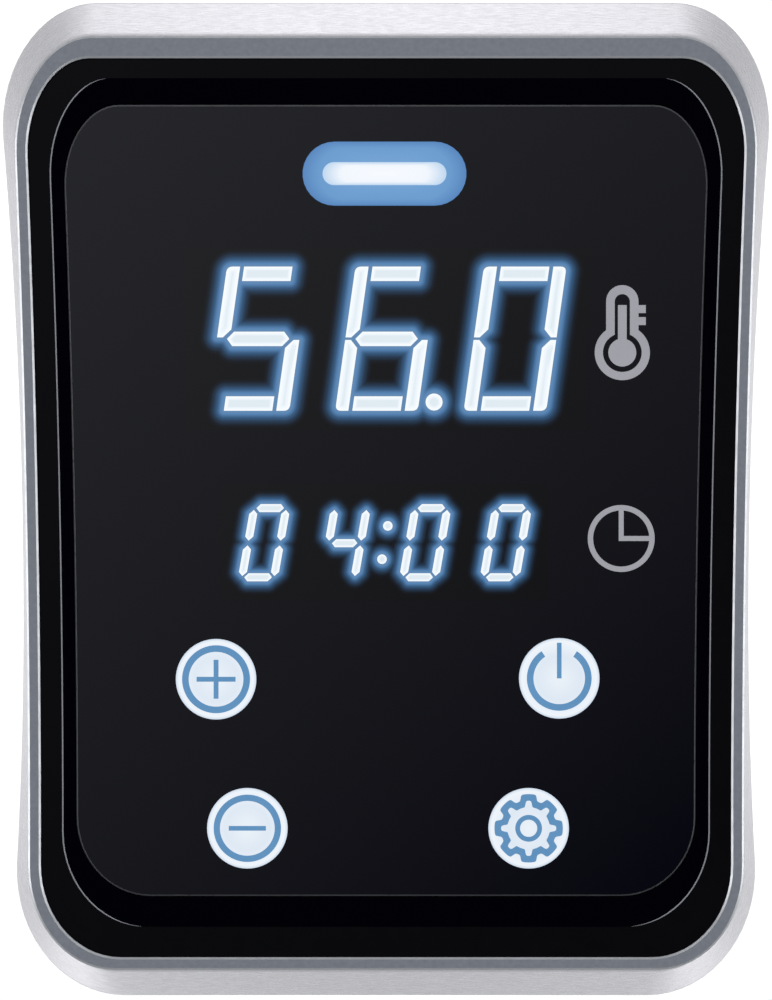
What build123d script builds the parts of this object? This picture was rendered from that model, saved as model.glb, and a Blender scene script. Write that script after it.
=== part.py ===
"""Sous vide circulator: an upright stick with its control face on top.

Millimetres, +Z up. The origin is the centre of the foot's flat face, on the axis of the
immersed tube. The user stands at -Y; the clamp for the pot's wall is at +Y.
"""

from build123d import *
from math import cos, radians, sin
import os

# ---- lengths of the stick's stretches, from the foot up ----------------------------------
SKIRT_LENGTH = 174.0      # foot's flat face to the housing tube
HOUSING_LENGTH = 84.0
NECK_LENGTH = 40.0
HEAD_LENGTH = 68.0        # neck to the rim's top
FOOT_HEIGHT = 18.0
SKIRT_LOW = 12.0          # lower edge of the immersed tube
SOCKET_DEPTH = 14.0       # how far the housing tube covers the immersed tube
BULKHEAD_THICK = 6.0
BELLY_DROP = 12.5         # the head's widest line, below the rim's top

# ---- immersed tube and foot --------------------------------------------------------------
SKIRT_RADIUS = 28.0
SKIRT_WALL = 0.8
COLLAR_WALL = 1.35        # locking collar round the immersed tube's top
FOOT_CLEARANCE = 0.1
SLOT_WIDTH = 3.2
SLOT_COUNT = 12
FOOT_WALL = 1.2
FOOT_FLOOR = 3.0
WINDOW_COUNT = 8
WINDOW_WIDTH = 9.0

# ---- housing tube and neck ---------------------------------------------------------------
HOUSING_WALL = 2.5
NECK_STEP = 1.5           # the neck stands out from the housing tube
NECK_WALL = 2.0
SLEEVE_WALL = 0.8
TRIM_HEIGHT = 3.0
VENT_COUNT = 5
VENT_PITCH = 5.5
GLAND_RADIUS = 6.0

# ---- plan of the head at the rim, about the head's own centre ----------------------------
HEAD_BACK = 8.0           # the head's centre lies this far behind the tube's axis
RIM_HALF_WIDTH = 35.8    # at its narrowest
RIM_BACK = 46.4
RIM_FRONT = 47.0
RIM_CORNER = 9.6
SIDE_RADIUS = 1700.0      # long hollow curve of the rim's sides
RIM_WAIST = -33.0         # where the rim is narrowest
RIM_HEIGHT = 1.4
BELLY_OUT = 1.47          # the belly stands out from the rim by this at the waist
BELLY_OUT_BACK = 4.8
BELLY_OUT_FRONT = 3.98
BELLY_WAIST = -12.3
BELLY_UPPER_RADIUS = 580.0
BELLY_LOWER_RADIUS = 452.0
BELLY_CORNER = 11.6

# ---- control face ------------------------------------------------------------------------
OPENING_SIDE = 1.27       # rim's width at its sides, back and front
OPENING_BACK = 2.2
OPENING_FRONT = 1.25
OPENING_CORNER = 8.4
GLASS_SIDE = 4.77
GLASS_BACK = 6.8
GLASS_FRONT = 7.3
GLASS_CORNER = 7.2
GLASS_THICK = 2.0
GLASS_DROP = 0.2          # glass top below the rim's top
BEZEL_DEPTH = 9.6
LEDGE_WIDTH = 2.6
GASKET_THICK = 0.4
KEY_RADIUS = 4.03
KEY_PLACES = {
    "plus_key": (-17.0, -17.93),
    "power_key": (17.33, -17.84),
    "minus_key": (-13.87, -32.84),
    "settings_key": (14.27, -32.84),
}
BAR_LENGTH = 16.4
BAR_WIDTH = 6.4
BAR_CORE_LENGTH = 12.4
BAR_CORE_WIDTH = 2.3
BAR_PLACE = (-0.15, 32.65)
BOARD_THICK = 1.6

# ---- drive -------------------------------------------------------------------------------
SHAFT_RADIUS = 2.5
MOTOR_SPACE = 11.5        # between the motor can and the housing tube's bore
MOTOR_RISE = 12.0         # motor above the bulkhead
MOTOR_LENGTH = 36.0
IMPELLER_SPACE = 12.2     # between the impeller and the immersed tube's bore
IMPELLER_LOW = 20.0
IMPELLER_HEIGHT = 12.0
BLADE_COUNT = 6

# ---- heater and probes -------------------------------------------------------------------
HEATER_TUBE_RADIUS = 3.2
HEATER_SPACE = 9.2        # heater legs' centres in from the immersed tube's bore
HEATER_LOW = 62.0
HAIRPIN_HALF = 7.5
PROBE_RADIUS = 2.0
ROD_SPACE = 5.2           # support rods' centres in from the immersed tube's bore
PROBE_CIRCLE = 12.5
ROD_RADIUS = 2.0
SPIDER_LOW = 42.0
SPIDER_THICK = 4.0

# ---- clamp -------------------------------------------------------------------------------
RING_RISE = 29.0          # clamp ring above the housing tube's lower edge
RING_HEIGHT = 24.0
RING_WALL = 3.6
LINER_WALL = 1.2
JAW_WIDTH = 30.0
JAW_THICK = 6.0
JAW_DROP = 25.0           # jaws reach this far below the clamp ring
THROAT = 14.0             # from the fixed pad to the outer leg
REST_GAP = 5.0            # from the fixed pad to the pressing pad, at rest
PAD_THICK = 1.5
LEG_THICK = 6.0
BRIDGE_HEIGHT = 9.0
SCREW_RADIUS = 3.5
SCREW_DROP = 13.0         # clamp screw below the clamp ring
PRESS_RADIUS = 8.0
PRESS_THICK = 4.0
KNOB_RADIUS = 11.0
KNOB_LENGTH = 9.6
KNOB_CAP = 2.0            # left of the knob beyond the screw's end
SCREW_IN = 3.5            # how far the pressing pad runs in from rest
LOCK_RADIUS = 10.0
LOCK_LENGTH = 8.6

# ---- clearances --------------------------------------------------------------------------
RUNNING = 0.05            # radial, a shaft in its bush
SLIDING = 0.15            # radial, a tube over a tube
SEAM = 0.06               # between trim pieces that meet edge to edge
GAP = 0.3                 # between bodies that pass each other

# ---- worked out --------------------------------------------------------------------------
HOUSING_LOW = SKIRT_LENGTH
BULKHEAD_LOW = HOUSING_LOW + SOCKET_DEPTH
BULKHEAD_TOP = BULKHEAD_LOW + BULKHEAD_THICK
HOUSING_TOP = HOUSING_LOW + HOUSING_LENGTH
NECK_TOP = HOUSING_TOP + NECK_LENGTH
HEIGHT = NECK_TOP + HEAD_LENGTH
SKIRT_BORE = SKIRT_RADIUS - SKIRT_WALL
HOUSING_BORE = SKIRT_RADIUS + COLLAR_WALL + SLIDING
HOUSING_RADIUS = HOUSING_BORE + HOUSING_WALL
NECK_RADIUS = HOUSING_RADIUS + NECK_STEP
NECK_BORE = NECK_RADIUS - NECK_WALL
HEATER_CIRCLE = SKIRT_BORE - HEATER_SPACE
ROD_CIRCLE = SKIRT_BORE - ROD_SPACE
IMPELLER_RADIUS = SKIRT_BORE - IMPELLER_SPACE
MOTOR_RADIUS = HOUSING_BORE - MOTOR_SPACE
MOTOR_LOW = BULKHEAD_TOP + MOTOR_RISE
RING_LOW = HOUSING_LOW + RING_RISE
JAW_LOW = RING_LOW - JAW_DROP
SCREW_HEIGHT = RING_LOW - SCREW_DROP
SLEEVE_TOP = HEIGHT - RIM_HEIGHT
BELLY = HEIGHT - BELLY_DROP
GLASS_TOP = HEIGHT - GLASS_DROP
GLASS_LOW = GLASS_TOP - GLASS_THICK
LEDGE = GLASS_LOW - GASKET_THICK
BEZEL_LOW = HEIGHT - BEZEL_DEPTH
BOARD_LOW = BEZEL_LOW - BOARD_THICK
LINER_BORE = HOUSING_RADIUS + SLIDING
RING_BORE = LINER_BORE + LINER_WALL
RING_RADIUS = RING_BORE + RING_WALL
JAW_BACK = RING_BORE + 1.2 + JAW_THICK
PAD_FACE = JAW_BACK + PAD_THICK
LEG_FRONT = PAD_FACE + THROAT
LEG_BACK = LEG_FRONT + LEG_THICK
PRESS_FACE = PAD_FACE + REST_GAP
PRESS_BACK = PRESS_FACE + PRESS_THICK
KNOB_FRONT = LEG_BACK + SCREW_IN + 0.8
SCREW_END = KNOB_FRONT + KNOB_LENGTH - KNOB_CAP
MOTOR_TOP = MOTOR_LOW + MOTOR_LENGTH
WINDOW_HALF = RIM_HALF_WIDTH - GLASS_SIDE - LEDGE_WIDTH
GLAND_HEIGHT = HOUSING_TOP + 20.0

parts = {}


def tube(radius, bore, low, high, x=0.0, y=0.0):
    """A round tube about a vertical axis."""
    height = high - low
    body = Cylinder(radius, height) - Cylinder(bore, height)
    return Pos(x, y, (low + high) / 2) * body


def rod(radius, low, high, x=0.0, y=0.0):
    """A round rod about a vertical axis."""
    return Pos(x, y, (low + high) / 2) * Cylinder(radius, high - low)


def block(x0, x1, y0, y1, z0, z1):
    """A rectangular block between two corners."""
    return Pos((x0 + x1) / 2, (y0 + y1) / 2, (z0 + z1) / 2) * Box(x1 - x0, y1 - y0, z1 - z0)


def across(radius, y0, y1, x=0.0, z=0.0):
    """A round rod about an axis along Y."""
    return Pos(x, (y0 + y1) / 2, z) * Rot(90, 0, 0) * Cylinder(radius, y1 - y0)


def around(count, piece, start=0.0):
    """Copies of a piece, evenly spaced about the tube's axis."""
    return [Rot(0, 0, start + 360.0 * n / count) * piece for n in range(count)]


def joined(pieces):
    """Several solids made one."""
    whole = pieces[0]
    for piece in pieces[1:]:
        whole = whole + piece
    return whole


def hollow(half, waist, radius, y0, y1, side):
    """Stretch of a side's long hollow curve, a parabola that is narrowest at the waist."""
    x0 = half + (y0 - waist) ** 2 / (2 * radius)
    x1 = half + (y1 - waist) ** 2 / (2 * radius)
    middle = (y0 + y1) / 2
    bend = x0 + (y0 - waist) / radius * (middle - y0)
    return Bezier((side * x0, y0), (side * bend, middle), (side * x1, y1))


def plan(half, back, front, waist, upper_radius, lower_radius, corner, halved):
    """Flat waisted plate with rounded corners; halved splits each side at its waist."""
    wide_back = half + (back - waist) ** 2 / (2 * upper_radius)
    wide_front = half + (waist + front) ** 2 / (2 * lower_radius)
    edges = [
        Line((-wide_back, back), (wide_back, back)),
        Line((-wide_front, -front), (wide_front, -front)),
    ]
    for side in (-1, 1):
        if halved:
            edges.append(hollow(half, waist, upper_radius, waist, back, side))
            edges.append(hollow(half, waist, lower_radius, waist, -front, side))
        else:
            edges.append(hollow(half, waist, upper_radius, back, -front, side))
    face = make_face(edges)
    corners = [v for v in face.vertices() if abs(v.Y - waist) > 1.0]
    return fillet(corners, corner)


def face_plan(side, back, front, corner, halved=False):
    """Plan of a piece of the control face, set in from the rim's outer edge."""
    half = RIM_HALF_WIDTH - side
    back_edge = RIM_BACK - back
    front_edge = RIM_FRONT - front
    return plan(half, back_edge, front_edge, RIM_WAIST, SIDE_RADIUS, SIDE_RADIUS, corner, halved)


def on_head(sketch, z):
    """The sketch moved to the head's centre at a height."""
    return Pos(0, HEAD_BACK, z) * sketch


def slab(sketch, low, high):
    """A head sketch made a plate between two heights."""
    return extrude(on_head(sketch, low), amount=high - low, dir=(0, 0, 1))


def head_form(inset, low):
    """The head's solid form, set in by a wall, from the neck to the rim."""
    neck = NECK_RADIUS - inset

    def station(z, share, corner):
        """Section between the neck's round (share 0) and the belly (share 1)."""
        half = neck + share * (RIM_HALF_WIDTH + BELLY_OUT - inset - neck)
        back = neck + share * (HEAD_BACK + RIM_BACK + BELLY_OUT_BACK - inset - neck)
        front = neck + share * (RIM_FRONT + BELLY_OUT_FRONT - HEAD_BACK - inset - neck)
        centre = (back - front) / 2
        reach = (back + front) / 2
        flat = 1.0 / max(share, 0.02)
        upper = BELLY_UPPER_RADIUS * flat
        lower = BELLY_LOWER_RADIUS * flat
        outline = plan(half, reach, reach, share * BELLY_WAIST, upper, lower, corner, True)
        return Pos(0, centre, z) * outline

    rise = BELLY - NECK_TOP
    belly = station(BELLY, 1.0, BELLY_CORNER - inset)
    body = loft(
        [
            station(low, 0.0, neck - 0.3),
            station(NECK_TOP + 0.4 * rise, 0.3, neck - 6.0),
            station(NECK_TOP + 0.75 * rise, 0.74, BELLY_CORNER + 7.0 - inset),
            belly,
        ]
    )
    rim = on_head(face_plan(inset, inset, inset, RIM_CORNER - inset, True), SLEEVE_TOP)
    return body + loft([belly, rim], ruled=True)


def make_sleeve():
    """Brushed steel sleeve of the head, open at both ends."""
    return head_form(0.0, NECK_TOP) - head_form(SLEEVE_WALL, NECK_TOP)


def make_neck():
    """Plastic neck band below the steel sleeve, with vent slots and the power inlet's hole."""
    low = HOUSING_TOP + TRIM_HEIGHT
    band = tube(NECK_RADIUS, NECK_RADIUS - NECK_WALL, low, NECK_TOP)
    slot = block(-NECK_RADIUS - 2, NECK_RADIUS + 2, -7, 7, -1.1, 1.1)
    for n in range(VENT_COUNT):
        band = band - Pos(0, 0, low + 8 + VENT_PITCH * n) * slot
    parts["neck_band"] = band - across(GLAND_RADIUS + SLIDING, 20, NECK_RADIUS + 4, z=GLAND_HEIGHT)


def make_face_pieces():
    """Rim, bezel, gasket, glass, lit keys and light bar of the control face."""
    opening = face_plan(OPENING_SIDE, OPENING_BACK, OPENING_FRONT, OPENING_CORNER)
    outside = face_plan(0, 0, 0, RIM_CORNER)
    rim = slab(outside, SLEEVE_TOP, HEIGHT) - slab(opening, SLEEVE_TOP - 1, HEIGHT + 1)
    parts["rim_ring"] = rim

    bezel_edge = face_plan(
        OPENING_SIDE + SEAM, OPENING_BACK + SEAM, OPENING_FRONT + SEAM, OPENING_CORNER - SEAM
    )
    pocket = face_plan(GLASS_SIDE, GLASS_BACK, GLASS_FRONT, GLASS_CORNER)
    in_ledge = LEDGE_WIDTH
    window = face_plan(
        GLASS_SIDE + in_ledge, GLASS_BACK + in_ledge, GLASS_FRONT + in_ledge, GLASS_CORNER - in_ledge
    )
    bezel = slab(bezel_edge, BEZEL_LOW, GLASS_TOP)
    bezel = bezel - slab(pocket, LEDGE, GLASS_TOP + 1)
    bezel = bezel - slab(window, BEZEL_LOW - 1, GLASS_TOP)
    parts["display_bezel"] = bezel

    glass_edge = face_plan(
        GLASS_SIDE + SEAM, GLASS_BACK + SEAM, GLASS_FRONT + SEAM, GLASS_CORNER - SEAM
    )
    parts["glass_gasket"] = slab(glass_edge, LEDGE, GLASS_LOW) - slab(window, LEDGE - 1, GLASS_LOW + 1)

    glass = slab(glass_edge, GLASS_LOW, GLASS_TOP)
    for name, (x, y) in KEY_PLACES.items():
        hole = rod(KEY_RADIUS + SEAM, GLASS_LOW - 1, GLASS_TOP + 1, x, y + HEAD_BACK)
        glass = glass - hole
        parts[name] = rod(KEY_RADIUS, BEZEL_LOW + 3.5, GLASS_TOP, x, y + HEAD_BACK)
    x, y = BAR_PLACE
    lens_hole = Pos(x, y) * SlotOverall(BAR_LENGTH + 2 * SEAM, BAR_WIDTH + 2 * SEAM)
    glass = glass - slab(lens_hole, GLASS_LOW - 1, GLASS_TOP + 1)
    lens = slab(Pos(x, y) * SlotOverall(BAR_LENGTH, BAR_WIDTH), GLASS_LOW - 1.5, GLASS_TOP)
    core = Pos(x, y) * SlotOverall(BAR_CORE_LENGTH, BAR_CORE_WIDTH)
    core_hole = Pos(x, y) * SlotOverall(BAR_CORE_LENGTH + 2 * SEAM, BAR_CORE_WIDTH + 2 * SEAM)
    parts["light_bar_lens"] = lens - slab(core_hole, GLASS_LOW - 2, GLASS_TOP + 1)
    parts["light_bar_core"] = slab(core, GLASS_LOW - 2.5, GLASS_TOP)
    parts["cover_glass"] = glass


def make_display_pieces():
    """Circuit board behind the glass and what it carries."""
    inside = 7.6
    board = slab(face_plan(inside, inside, inside, 5.0), BOARD_LOW, BEZEL_LOW)
    for x in (-1, 1):
        for y in (HEAD_BACK - RIM_FRONT + inside + 4, HEAD_BACK + RIM_BACK - inside - 4):
            board = board - rod(1.7, BOARD_LOW - 1, BEZEL_LOW + 1, x * (RIM_HALF_WIDTH - inside - 4.0), y)
    parts["display_board"] = board
    y = HEAD_BACK
    module_top = GLASS_LOW - GAP
    left = -WINDOW_HALF + 8.0
    right = WINDOW_HALF - 1.2
    parts["temperature_display"] = block(left, right, y + 6.5, y + 25.5, BEZEL_LOW, module_top)
    parts["timer_display"] = block(left + 3, right, y - 10, y + 2, BEZEL_LOW, module_top)
    springs = []
    for kx, ky in KEY_PLACES.values():
        springs.append(tube(3.2, 2.7, BEZEL_LOW, BEZEL_LOW + 3.5, kx, ky + HEAD_BACK))
    parts["touch_springs"] = Compound(children=springs)
    buzzer = rod(6.0, BOARD_LOW - 6.5, BOARD_LOW, -12, HEAD_BACK - 30)
    parts["buzzer"] = buzzer - rod(1.0, BOARD_LOW - 7, BOARD_LOW - 4, -12, HEAD_BACK - 30)
    screws = []
    for x in (-1, 1):
        for sy in (HEAD_BACK - RIM_FRONT + inside + 4, HEAD_BACK + RIM_BACK - inside - 4):
            sx = x * (RIM_HALF_WIDTH - inside - 4.0)
            head = rod(2.6, BOARD_LOW - 1.8, BOARD_LOW, sx, sy)
            screws.append(head + rod(1.5, BOARD_LOW - 1.8, BEZEL_LOW, sx, sy))
    parts["board_screws"] = Compound(children=screws)


def make_inside_head():
    """Chassis, power board and what it carries."""
    floor_low = NECK_TOP - 6
    outer = NECK_BORE - GAP
    frame = tube(outer, outer - 5.0, floor_low, floor_low + 3)
    rail_top = BOARD_LOW - 8
    rail = outer - 4.6
    for x in (-rail, rail):
        frame = frame + block(x - 2, x + 2, -6, 12, floor_low, rail_top)
    frame = frame + block(-rail, rail, 8, 12, floor_low, floor_low + 10)
    parts["inner_frame"] = frame
    board_front = 12.0
    board_back = board_front + BOARD_THICK
    low = floor_low + 3
    parts["power_board"] = block(-rail, rail, board_front, board_back, low, rail_top)
    caps = [across(6.5, board_back, board_back + 14, x, low + 33) for x in (-16, -1)]
    parts["capacitors"] = Compound(children=caps)
    parts["transformer"] = block(-9, 9, board_back, board_back + 13, low + 6, low + 22)
    sink = block(10, 26, board_back, board_back + 3, low + 28, low + 44)
    for n in range(4):
        sink = sink + block(10.5 + 4.6 * n, 12.0 + 4.6 * n, board_back, board_back + 14, low + 28, low + 44)
    parts["heat_sink"] = sink


def make_housing():
    """Housing tube, its trim ring, vent baffle, bulkhead and seals."""
    housing = tube(HOUSING_RADIUS, HOUSING_BORE, HOUSING_LOW, HOUSING_TOP)
    spigot_radius = NECK_BORE - SEAM
    spigot = tube(spigot_radius, HOUSING_BORE, HOUSING_TOP, HOUSING_TOP + TRIM_HEIGHT + 4)
    parts["housing_tube"] = housing + spigot
    parts["neck_trim"] = tube(NECK_RADIUS, NECK_BORE, HOUSING_TOP, HOUSING_TOP + TRIM_HEIGHT)
    baffle_low = HOUSING_TOP + TRIM_HEIGHT + 4
    baffle = tube(spigot_radius - GAP, spigot_radius - GAP - 1.0, baffle_low, NECK_TOP - 6)
    step = block(-NECK_RADIUS, NECK_RADIUS, -6, 6, -0.8, 0.8)
    for n in range(VENT_COUNT - 1):
        middle = HOUSING_TOP + TRIM_HEIGHT + 8 + VENT_PITCH * (n + 0.5)
        baffle = baffle - Pos(0, 0, middle) * step
    gland_way = across(GLAND_RADIUS + 3.0, 20, NECK_RADIUS, z=GLAND_HEIGHT)
    parts["vent_baffle"] = baffle - gland_way

    middle = (BULKHEAD_LOW + BULKHEAD_TOP) / 2
    below = BULKHEAD_LOW - 1
    above = BULKHEAD_TOP + 1
    plate = rod(HOUSING_BORE - SEAM, BULKHEAD_LOW, BULKHEAD_TOP)
    plate = plate - tube(HOUSING_BORE, HOUSING_BORE - 1.8, middle - 1, middle + 1)
    plate = plate - rod(8.0, below, above)
    for x, y in pass_points():
        plate = plate - rod(HEATER_TUBE_RADIUS + SEAM, below, above, x, y)
    for piece in around(3, rod(ROD_RADIUS, below, above, ROD_CIRCLE), 60):
        plate = plate - piece
    for x, y, _ in probe_places():
        plate = plate - rod(PROBE_RADIUS, below, above, x, y)
    parts["bulkhead"] = plate
    parts["bulkhead_o_ring"] = Pos(0, 0, middle) * Torus(HOUSING_BORE - 0.9, 0.85)
    parts["shaft_seal"] = tube(8.0, SHAFT_RADIUS + RUNNING, BULKHEAD_LOW, BULKHEAD_TOP - 1)


def probe_places():
    """Centre and lower end of the temperature probe and the two level rods."""
    lows = (HEATER_LOW - 6, HEATER_LOW + 10, HEATER_LOW + 88)
    turns = [radians(90 + 120 * n) for n in range(3)]
    return [(PROBE_CIRCLE * cos(t), PROBE_CIRCLE * sin(t), low) for t, low in zip(turns, lows)]


def pass_points():
    """Where the heater's legs pass through the bulkhead."""
    points = []
    for n in range(3):
        turn = radians(120.0 * n)
        for side in (-HAIRPIN_HALF, HAIRPIN_HALF):
            x = HEATER_CIRCLE * cos(turn) - side * sin(turn)
            y = HEATER_CIRCLE * sin(turn) + side * cos(turn)
            points.append((x, y))
    return points


def make_heater():
    """Three hairpins of sheathed heating tube, hanging from the bulkhead."""
    bend_centre = HEATER_LOW + HAIRPIN_HALF
    bend = Rot(0, 90, 0) * Torus(HAIRPIN_HALF, HEATER_TUBE_RADIUS)
    lower_half = bend & block(-20, 20, -20, 20, -20, 0)
    hairpin = Pos(HEATER_CIRCLE, 0, bend_centre) * lower_half
    for side in (-HAIRPIN_HALF, HAIRPIN_HALF):
        hairpin = hairpin + rod(HEATER_TUBE_RADIUS, bend_centre, BULKHEAD_TOP + 3, HEATER_CIRCLE, side)
    parts["heater_loops"] = Compound(children=around(3, hairpin))
    probes = [rod(PROBE_RADIUS, low, BULKHEAD_TOP + 3, x, y) for x, y, low in probe_places()]
    parts["temperature_probe"] = probes[0]
    parts["level_rods"] = Compound(children=probes[1:])
    x = ROD_CIRCLE * cos(radians(60))
    y = -ROD_CIRCLE * sin(radians(60))
    parts["thermal_cutout"] = block(x - 5, x + 5, y - 3, y + 4, BULKHEAD_TOP, BULKHEAD_TOP + 5)


def make_shaft_support():
    """Three rods, the spider they carry and the bush that steadies the long shaft."""
    rods = around(3, rod(ROD_RADIUS, SPIDER_LOW, BULKHEAD_TOP, ROD_CIRCLE), 60)
    parts["support_rods"] = Compound(children=rods)
    top = SPIDER_LOW + SPIDER_THICK
    spider = tube(SKIRT_BORE - 1.2, ROD_CIRCLE - ROD_RADIUS - 1.2, SPIDER_LOW, top)
    arm = block(6.5, ROD_CIRCLE, -2.0, 2.0, SPIDER_LOW, top)
    spider = joined([spider, tube(8.0, 5.5, SPIDER_LOW, top), *around(3, arm)])
    for piece in around(3, rod(ROD_RADIUS, SPIDER_LOW - 1, top + 1, ROD_CIRCLE), 60):
        spider = spider - piece
    parts["shaft_spider"] = spider
    parts["shaft_bush"] = tube(5.5, SHAFT_RADIUS + RUNNING, SPIDER_LOW - 1, top + 1)


def make_motor():
    """Motor can with its stator, end bell, bearings, rotor and fan."""
    can = tube(MOTOR_RADIUS, MOTOR_RADIUS - 1.2, MOTOR_LOW, MOTOR_TOP)
    can = can + tube(MOTOR_RADIUS, 7.0, MOTOR_LOW, MOTOR_LOW + 2)
    parts["motor_can"] = can
    parts["motor_stator"] = tube(MOTOR_RADIUS - 1.2, 11.6, MOTOR_LOW + 6, MOTOR_TOP - 6)
    lower = tube(7.0, SHAFT_RADIUS + RUNNING, MOTOR_LOW, MOTOR_LOW + 4)
    upper = tube(7.0, SHAFT_RADIUS + RUNNING, MOTOR_TOP - 1, MOTOR_TOP + 3)
    parts["motor_bearings"] = Compound(children=[lower, upper])
    post_circle = HOUSING_BORE - 4.0
    plate = tube(HOUSING_BORE - SEAM, 7.0, MOTOR_TOP, MOTOR_TOP + 3)
    for piece in around(3, rod(2.2, MOTOR_TOP - 1, MOTOR_TOP + 4, post_circle), 90):
        plate = plate - piece
    for piece in around(3, rod(1.6, MOTOR_TOP - 1, MOTOR_TOP + 4, post_circle), 30):
        plate = plate - piece
    parts["motor_plate"] = plate
    post = rod(2.4, BULKHEAD_TOP, MOTOR_TOP, post_circle)
    post = post + rod(1.5, MOTOR_TOP - 1, MOTOR_TOP + 3, post_circle)
    post = post + rod(3.2, MOTOR_TOP + 3, MOTOR_TOP + 5, post_circle)
    parts["motor_posts"] = Compound(children=around(3, post, 30))

    meet = BULKHEAD_TOP + 5
    parts["motor_shaft"] = rod(SHAFT_RADIUS, meet + 0.5, MOTOR_TOP + 16)
    parts["impeller_shaft"] = rod(SHAFT_RADIUS, IMPELLER_LOW - 2, meet)
    parts["shaft_coupling"] = tube(6.0, SHAFT_RADIUS, meet - 4, meet + 5)
    parts["rotor_core"] = tube(11.0, SHAFT_RADIUS, MOTOR_LOW + 7, MOTOR_TOP - 7)
    hub = tube(5.0, SHAFT_RADIUS, MOTOR_TOP + 6, MOTOR_TOP + 15)
    blade = Pos(10.5, 0, MOTOR_TOP + 10.5) * Rot(35, 0, 0) * Box(13, 8, 1.0)
    blade = blade - rod(SHAFT_RADIUS + 1, MOTOR_TOP, MOTOR_TOP + 20)
    parts["cooling_fan"] = joined([hub, *around(7, blade)])


def make_impeller():
    """Moulded impeller: a hub, a disc and curved blades below it."""
    top = IMPELLER_LOW + IMPELLER_HEIGHT
    hub = tube(5.0, SHAFT_RADIUS, IMPELLER_LOW, top)
    disc = tube(IMPELLER_RADIUS, SHAFT_RADIUS + 1, top - 1.6, top)
    ribbon = trace(CenterArc((4.0, -7.0), 11.5, 15, 95), line_width=1.3)
    blade = extrude(ribbon, amount=IMPELLER_HEIGHT - 1.6)
    blade = Pos(0, 0, IMPELLER_LOW) * blade
    blade = blade & rod(IMPELLER_RADIUS, IMPELLER_LOW, top)
    blade = blade - rod(SHAFT_RADIUS + 1, IMPELLER_LOW - 1, top + 1)
    parts["impeller"] = joined([hub, disc, *around(BLADE_COUNT, blade)])


def make_skirt():
    """Slotted steel tube round the heater, with the collar that locks it in the housing."""
    skirt = tube(SKIRT_RADIUS, SKIRT_BORE, SKIRT_LOW, BULKHEAD_LOW - 1)
    middle = SKIRT_RADIUS - SKIRT_WALL / 2
    high_slots = (SKIRT_LENGTH - 82, SKIRT_LENGTH - 36)
    low_slots = (FOOT_HEIGHT + 8, FOOT_HEIGHT + 28)

    def slot_cut(low, high):
        """One tall round-ended slot through the tube's wall."""
        face = Pos(middle, 0, (low + high) / 2) * Rot(0, 90, 0) * SlotOverall(high - low, SLOT_WIDTH)
        return extrude(face, amount=3, both=True)

    for cut in around(SLOT_COUNT, slot_cut(*high_slots)) + around(SLOT_COUNT, slot_cut(*low_slots), 15):
        skirt = skirt - cut
    parts["skirt_tube"] = skirt
    collar = tube(HOUSING_BORE - SLIDING, SKIRT_RADIUS, HOUSING_LOW + 1, BULKHEAD_LOW - 1)
    parts["skirt_collar"] = collar


def make_foot():
    """Foot cap that twists off the tube, with windows for the outflow."""
    bore = SKIRT_RADIUS + FOOT_CLEARANCE
    outer = bore + FOOT_WALL
    cap = rod(outer, 0, FOOT_HEIGHT)
    cap = fillet(cap.edges().filter_by(GeomType.CIRCLE).sort_by(Axis.Z)[0], 1.6)
    cap = cap - rod(bore, SKIRT_LOW - GAP, FOOT_HEIGHT + 1)
    cap = cap - rod(SKIRT_BORE - 0.4, FOOT_FLOOR, SKIRT_LOW)
    side = WINDOW_WIDTH / 2
    window = block(SKIRT_BORE - 4, outer + 1, -side, side, FOOT_FLOOR + 1, SKIRT_LOW - 2)
    for cut in around(WINDOW_COUNT, window):
        cap = cap - cut
    parts["foot_cap"] = cap


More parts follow.
